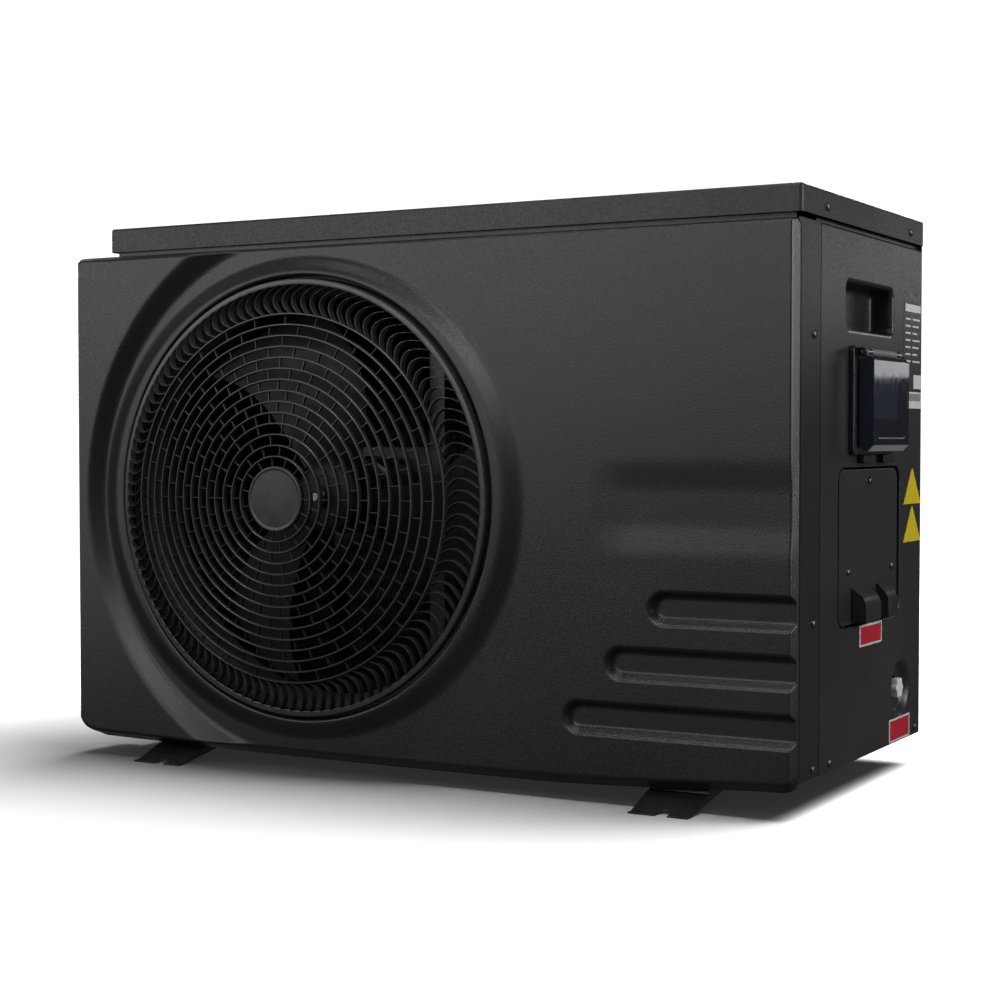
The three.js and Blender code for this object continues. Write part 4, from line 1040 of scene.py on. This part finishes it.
def water_port(name):
    """A union nut with grip lobes over a pipe socket."""
    low, high = limits(f"{name}_union_nut")
    z = (low.z + high.z) / 2
    start, end = (corner.y for corner in limits(f"{name}_socket"))
    nut = Form()
    back, front = low.y, high.y
    profile = [(33, back), (37.5, back), (38.7, back + 0.6), (39.2, back + 1.8), (39.2, front - 7)]
    profile += [(38.7, front - 5.6), (37, front - 5)]
    nut.stack("y", lobed(WATER_X, z, 10, 1.4, 120), profile, ends=False)
    collar = [(38, front - 5.4), (35, front - 5), (34.6, front - 0.8), (33.8, front), (29.8, front)]
    collar += [(29.2, front - 0.6), (29.2, front - 14), (33, front - 16), (33, back)]
    nut.turned("y", WATER_X, z, collar, 96)
    union = f"{name}_union_nut"
    make(f"{name}_nut_body", nut, GREY_PVC, body=f"{name}_nut", replaces=[union])

    socket = Form()
    tube = [(21, start), (30.6, start), (31, start + 0.4), (31, start + 4.6), (28.6, start + 5.4)]
    tube += [(28.5, start + 6), (28.5, end - 0.8), (27.9, end), (25.9, end), (25.2, end - 0.8)]
    tube += [(25.1, start + 8), (21, start + 8)]
    socket.turned("y", WATER_X, z, tube, 96, closed=True)
    make(f"{name}_pipe_socket", socket, WHITE_PVC, replaces=[f"{name}_socket"])


def drain_cap():
    """A white lobed cap in the dimple."""
    form = Form()
    end = limits("drain_cap")[1].x
    radius = 11.8
    profile = [(radius - inset, level) for inset, level in slab_profile(end - 9, end, 1.4)]
    form.stack("x", lobed(DRAIN_Y, DRAIN_Z, 6, 1.2, 96), profile)
    form.rod("x", DRAIN_Y, DRAIN_Z, 9.5, end - 17, end - 8)
    form.rod("x", DRAIN_Y, DRAIN_Z, 5.6, end - 30, end - 16)
    make("drain_cap_lobed", form, WHITE_PVC, body="drain_cap", replaces=["drain_cap"])


# ---------------- controller


def controller_housing():
    """The controller's box on its back plate, with the display, its red lamp and the cover's hinge."""
    low, high = limits("controller_housing")
    hinge = next(j for j in frame["joints"] if j["name"] == "cover_hinge")["pos_m"]
    hinge_x, _, hinge_z = (Vector(hinge) - ORIGIN) / MM
    form = Form()
    form.slab("x", rounded_rect(low.y, high.y, low.z, high.z, 7), low.x, low.x + 6, 1.3)
    box = rounded_rect(low.y + 16, high.y - 16, low.z + 12, high.z - 18, 5)
    form.slab("x", box, low.x + 4, high.x - 0.6, 1)
    for y in (low.y + 4, high.y - 10):
        form.rod("y", hinge_x, hinge_z, 5, y, y + 6, 1, 40)
        form.box(low.x + 4, hinge_x, y, y + 6, hinge_z - 5, hinge_z + 5, 0.6)
    make("controller_base", form, HOUSING, replaces=["controller_housing"])

    glass = Form()
    screen_low, screen_high = limits("controller_screen")
    pane = rounded_rect(screen_low.y, screen_high.y, screen_low.z, screen_high.z, 3)
    glass.slab("x", pane, high.x - 1.6, screen_high.x, 0.5)
    make("controller_display", glass, SCREEN, replaces=["controller_screen"])
    dot = Form()
    dot.rod("x", *STATUS_LAMP, 3.2, screen_high.x - 0.6, screen_high.x + 0.5, 0.4, 24)
    make("status_lamp", dot, RED_LAMP)

    bar = Form()
    bar.rod("y", hinge_x, hinge_z, 4.2, low.y + 10.6, high.y - 10.6, 0.8, 32)
    make("cover_hinge_barrel", bar, HINGE_GREY, body="flip_cover")


def controller_buttons():
    """Four round rubber buttons, slightly dished."""
    for i in range(1, 5):
        node = f"controller_button_{i}"
        low, high = limits(node)
        middle = (low + high) / 2
        top = high.x
        profile = [(4.8, low.x), (4.8, top - 0.9), (4.4, top - 0.3), (3.6, top), (2.2, top - 0.1)]
        profile += [(0.5, top - 0.25)]
        form = Form()
        form.turned("x", middle.y, middle.z, profile, 32)
        make(f"button_cap_{i}", form, RUBBER, body=f"button_{i}", replaces=[node])


def controller_cover():
    """The flip cover, with a raised grip line near its lower edge."""
    soften("controller_cover", SMOKED, 1.0, 3)
    low, high = limits("controller_cover")
    left, right, bottom = low.y + 16, high.y - 16, GRIP_LINE_Z
    line = rounded_rect(left, right, bottom, bottom + 1.6, 0.6, 3)
    hook = rounded_rect(right - 1.4, right, bottom, bottom + 4, 0.6, 3)
    form = Form()
    for outline in (line, hook):
        form.slab("x", outline, high.x - 0.4, high.x + 0.06, 0.03)
    make("cover_grip_line", form, HINGE_GREY, body="flip_cover")


# ---------------- small parts


def screw(name, x, y, z, replaces=()):
    """A pan-head screw facing +x; its cross recess is painted shade: a near-black raised cross stands in
    for the dark hollow.
    """
    head = Form()
    crown = [(4.6, 0.05), (4.6, 0.8), (4.3, 1.5), (3.6, 2.1), (2.4, 2.5), (1.0, 2.7), (0.3, 2.72)]
    head.turned("x", y, z, [(radius, x + level) for radius, level in crown], 28)
    make(name, head, SCREW, replaces=replaces)
    # Painted shade: a near-black cross slab on the crown shows the recess's dark hollow.
    cross = Form()
    for reach_y, reach_z, top in ((2.3, 0.45, 2.78), (0.45, 2.3, 2.79)):
        arm = rounded_rect(y - reach_y, y + reach_y, z - reach_z, z + reach_z, 0.3, 2)
        cross.slab("x", arm, x + 1.9, x + top, 0.05)
    make(f"{name}_recess", cross, PAINTED_RECESS_SHADE)


def screws():
    """Every screw on the right side; the two low in its corners aren't in the CAD."""
    names = [f"access_screw_{i}" for i in (1, 2, 3)] + [f"wrap_screw_{i}" for i in (1, 2, 3)]
    names += ["lid_screw_1", "lid_screw_2"]
    for node in names:
        low, high = limits(node)
        middle = (low + high) / 2
        screw(f"{node}_head", low.x - 0.3, middle.y, middle.z, [node])
    for name, y in (("panel_screw_front", 95), ("panel_screw_rear", 405)):
        screw(name, WALL_RIGHT, y, 10)


def label_layer(name, outlines, low, high, finish):
    """One thin layer of a label on the right side."""
    form = Form()
    for outline in outlines:
        form.slab("x", outline, WALL_RIGHT + low, WALL_RIGHT + high, 0.03)
    make(name, form, finish)


def bordered_label(name, y0, y1, z0, z1, finish):
    """A coloured field on a white label."""
    label_layer(name, [rounded_rect(y0, y1, z0, z1, 1.5)], 0, 0.25, WHITE_FILM)
    print_area = rounded_rect(y0 + 3.4, y1 - 3.4, z0 + 2.4, z1 - 2.4, 0.6)
    label_layer(f"{name}_print", [print_area], 0.2, 0.33, finish)


def labels():
    """Blank labels: plain colour fields and bars only, with no lettering and no signs."""
    label_layer("rating_label", [rounded_rect(352, 422, 446, 542, 2)], 0, 0.25, DARK_FILM)
    bars = [rounded_rect(357, 418, 518, 527, 0.8)]
    for row in range(7):
        z = 509 - 8.5 * row
        bars.append(rounded_rect(358, 378, z - 1.1, z + 1.1, 0.5))
        bars.append(rounded_rect(386, 415 - 5 * (row % 3), z - 1.1, z + 1.1, 0.5))
    label_layer("rating_label_bars", bars, 0.2, 0.33, WHITE_FILM)
    label_layer("small_label_upper", [rounded_rect(391, 423, 425, 442, 2)], 0, 0.25, WHITE_FILM)
    label_layer("small_label_lower", [rounded_rect(364, 423, 401, 421, 2)], 0, 0.25, WHITE_FILM)
    label_layer("small_label_field", [rounded_rect(368, 419, 410, 419, 1)], 0.2, 0.33, GREY_FILM)
    bordered_label("red_label_upper", 194, 274, 127, 152, RED_FILM)
    bordered_label("red_label_lower", 304, 384, 2, 30, RED_FILM)
    for name, base in (("yellow_label_upper", 285), ("yellow_label_lower", 239)):
        corners = [(354, base), (423, base), (390.5, base + 43), (386.5, base + 43)]
        label_layer(name, [polygon(corners)], 0, 0.25, YELLOW_FILM)


def carried_over():
    """CAD nodes that keep their own shape: each one's finish and how wide its edges are rounded."""
    looks = [
        (CABINET_PAINT, 0.4, ["base_pan"]),
        (BLACK_STEEL, 0.4, ["motor_bracket"]),
        (BLACK_STEEL, 0.5, ["foot_rail_left", "foot_rail_right"]),
        (BLACK_STEEL, 0.8, ["fan_nut"]),
        (BLACK_STEEL, 1.5, ["compressor", "suction_accumulator"]),
        (STEEL, 0.3, ["cover_hinge_pin"]),
        (STEEL, 0.5, ["fan_shaft"]),
        (ZINC, 0.3, ["partition_plate", "electrical_box"]),
        (RUBBER, 0.8, ["compressor_mount_1", "compressor_mount_2", "compressor_mount_3"]),
        (RUBBER, 1.0, ["exchanger_stand"]),
        (BRASS, 0.8, ["reversing_valve", "expansion_valve"]),
        (COPPER, 0.3, ["discharge_pipe", "suction_pipe", "liquid_pipe"]),
        (GREY_PVC, 1.5, ["heat_exchanger"]),
        (BOARD, 0.3, ["control_board"]),
        (DEEP_BLACK, 0.5, ["terminal_block"]),
        (DEEP_BLACK, 0.9, ["cable_hood_large", "cable_hood_small"]),
        (HOUSING, 0.6, ["controller_clip_1", "controller_clip_2"]),
    ]
    for finish, width, nodes in looks:
        for node in nodes:
            soften(node, finish, width)


# ---------------- studio


def backdrop():
    """A round white bowl. It is seen directly but lights nothing, so the lamps alone shape the cabinet."""
    flat, bend, rise = 4500, 1500, 5000
    turns = [math.radians(9 * k) for k in range(1, 11)]
    profile = [(1, FLOOR_LEVEL), (bend, FLOOR_LEVEL), (flat, FLOOR_LEVEL)]
    profile += [(flat + bend * math.sin(t), FLOOR_LEVEL + bend * (1 - math.cos(t))) for t in turns]
    profile += [(flat + bend, FLOOR_LEVEL + rise)]
    bowl = Form()
    bowl.stack("z", circle(WIDTH / 2, DEPTH / 2, 96), profile, ends=False)
    mesh = bpy.data.meshes.new("floor")
    mesh.from_pydata([place(*point) for point in bowl.points], [], bowl.faces)
    mesh.shade_smooth()
    mesh.materials.append(studio_floor())
    floor = bpy.data.objects.new("floor", mesh)
    floor.visible_diffuse = False
    floor.visible_glossy = False
    bpy.context.scene.collection.objects.link(floor)
    return floor


def studio():
    """A faint even sky, lamps that share the cabinet, and lamps for one piece each."""
    world = bpy.data.worlds.new("studio")
    bpy.context.scene.world = world
    world.use_nodes = True
    sky = world.node_tree.nodes["Background"].inputs
    sky["Color"].default_value = (1, 1, 1, 1)
    sky["Strength"].default_value = 0.06

    floor = backdrop()
    cover = frame["nodes"]["controller_cover"]
    handle = bpy.data.objects["handle_bowl"]
    face = bpy.data.objects["front_face"]
    lamp("overhead", (0.7, 0.9, 2.7), (0, 0, 0), 2.7, 2.7, 270, only=floor)
    lamp("key", (0.35, -1.9, 1.7), (0, -0.2, 0.35), 1.7, 0.3, 12.5, leave_out=floor)
    lamp("top", (0, -0.75, 2.4), (0, -0.2, 0.6), 2, 0.3, 13, leave_out=floor)
    lamp("left_front", (-1.2, -2.1, 0.92), (0, -0.2, 0.86), 2.2, 0.9, 14.5, leave_out=floor)
    lamp("right_back", (1.2, 2.1, 0.82), (0.49, 0, 0.72), 0.5, 0.3, 0.6, leave_out=floor)
    lamp("right_fill", (2.5, 0.1, 0.9), (0.49, 0, 0.3), 1, 1, 24, leave_out=floor)
    lamp("back", (-0.6, 2.6, 1.5), (0, 0, 0.3), 1.6, 1.2, 90, leave_out=floor)
    lamp("left", (-2.6, 0.7, 1.2), (-0.4, 0, 0.3), 1.2, 1.2, 60, leave_out=floor)
    lamp("handle_light", (0.95, 1.8, 1.45), (0.49, 0, 0.55), 0.6, 0.5, 6, only=handle)
    lamp("slopes", (0.3, -1.9, 1.15), (-0.1, -0.2, 0.33), 0.6, 0.3, 2.6, only=face)
    lamp("low_left", (-1.9, -1.7, 0.12), (-0.4, -0.27, 0.15), 0.6, 0.25, 1.5, only=face)
    lamp("cover_sheen", (1.2, 2.1, 0.69), (0.53, 0, 0.47), 0.5, 0.3, 1.3, only=cover)
    lamp("cover_low", (0.6, 1.0, 0.03), (0.53, 0, 0.39), 0.6, 0.3, 0.3, only=cover)
    lamp("cover_flank", (1.7, -1.9, 0.6), (0.53, 0, 0.45), 0.6, 0.8, 26, only=cover)


def lamp(name, at, towards, width, height, power, only=None, leave_out=None):
    """A soft rectangular lamp that may light one object only, or everything but one object."""
    data = bpy.data.lights.new(name, "AREA")
    data.shape = "RECTANGLE"
    data.size = width
    data.size_y = height
    data.energy = power
    light = bpy.data.objects.new(name, data)
    light.location = at
    light.rotation_euler = (Vector(towards) - Vector(at)).to_track_quat("-Z", "Y").to_euler()
    light.visible_camera = False
    bpy.context.scene.collection.objects.link(light)
    receivers = bpy.data.collections.new(f"{name}_receivers")
    receivers.objects.link(only or leave_out)
    if leave_out:
        receivers.collection_objects[0].light_linking.link_state = "EXCLUDE"
    light.light_linking.receiver_collection = receivers


def camera():
    """A long lens in front of the unit and to its right, at the height of its middle."""
    data = bpy.data.cameras.new("camera")
    data.sensor_width = 36
    data.lens = LENS
    eye = bpy.data.objects.new("camera", data)
    eye.location = place(*CAMERA)
    eye.rotation_euler = (math.radians(90 - LOOK_DOWN), 0, math.radians(LOOK_LEFT))
    bpy.context.scene.collection.objects.link(eye)
    bpy.context.scene.camera = eye
    bpy.context.scene.view_settings.view_transform = "Standard"


front_panel()
front_returns()
fan_grille()
grille_hub()
fan_shroud()
fan()
fan_motor()
lid()
right_side_panel()
handle_cup()
left_side_panel()
rear_guard()
rear_panel()
access_cover()
coil_fins()
for port in ("inlet", "outlet"):
    water_port(port)
drain_cap()
controller_housing()
controller_buttons()
controller_cover()
screws()
labels()
carried_over()
studio()
camera()
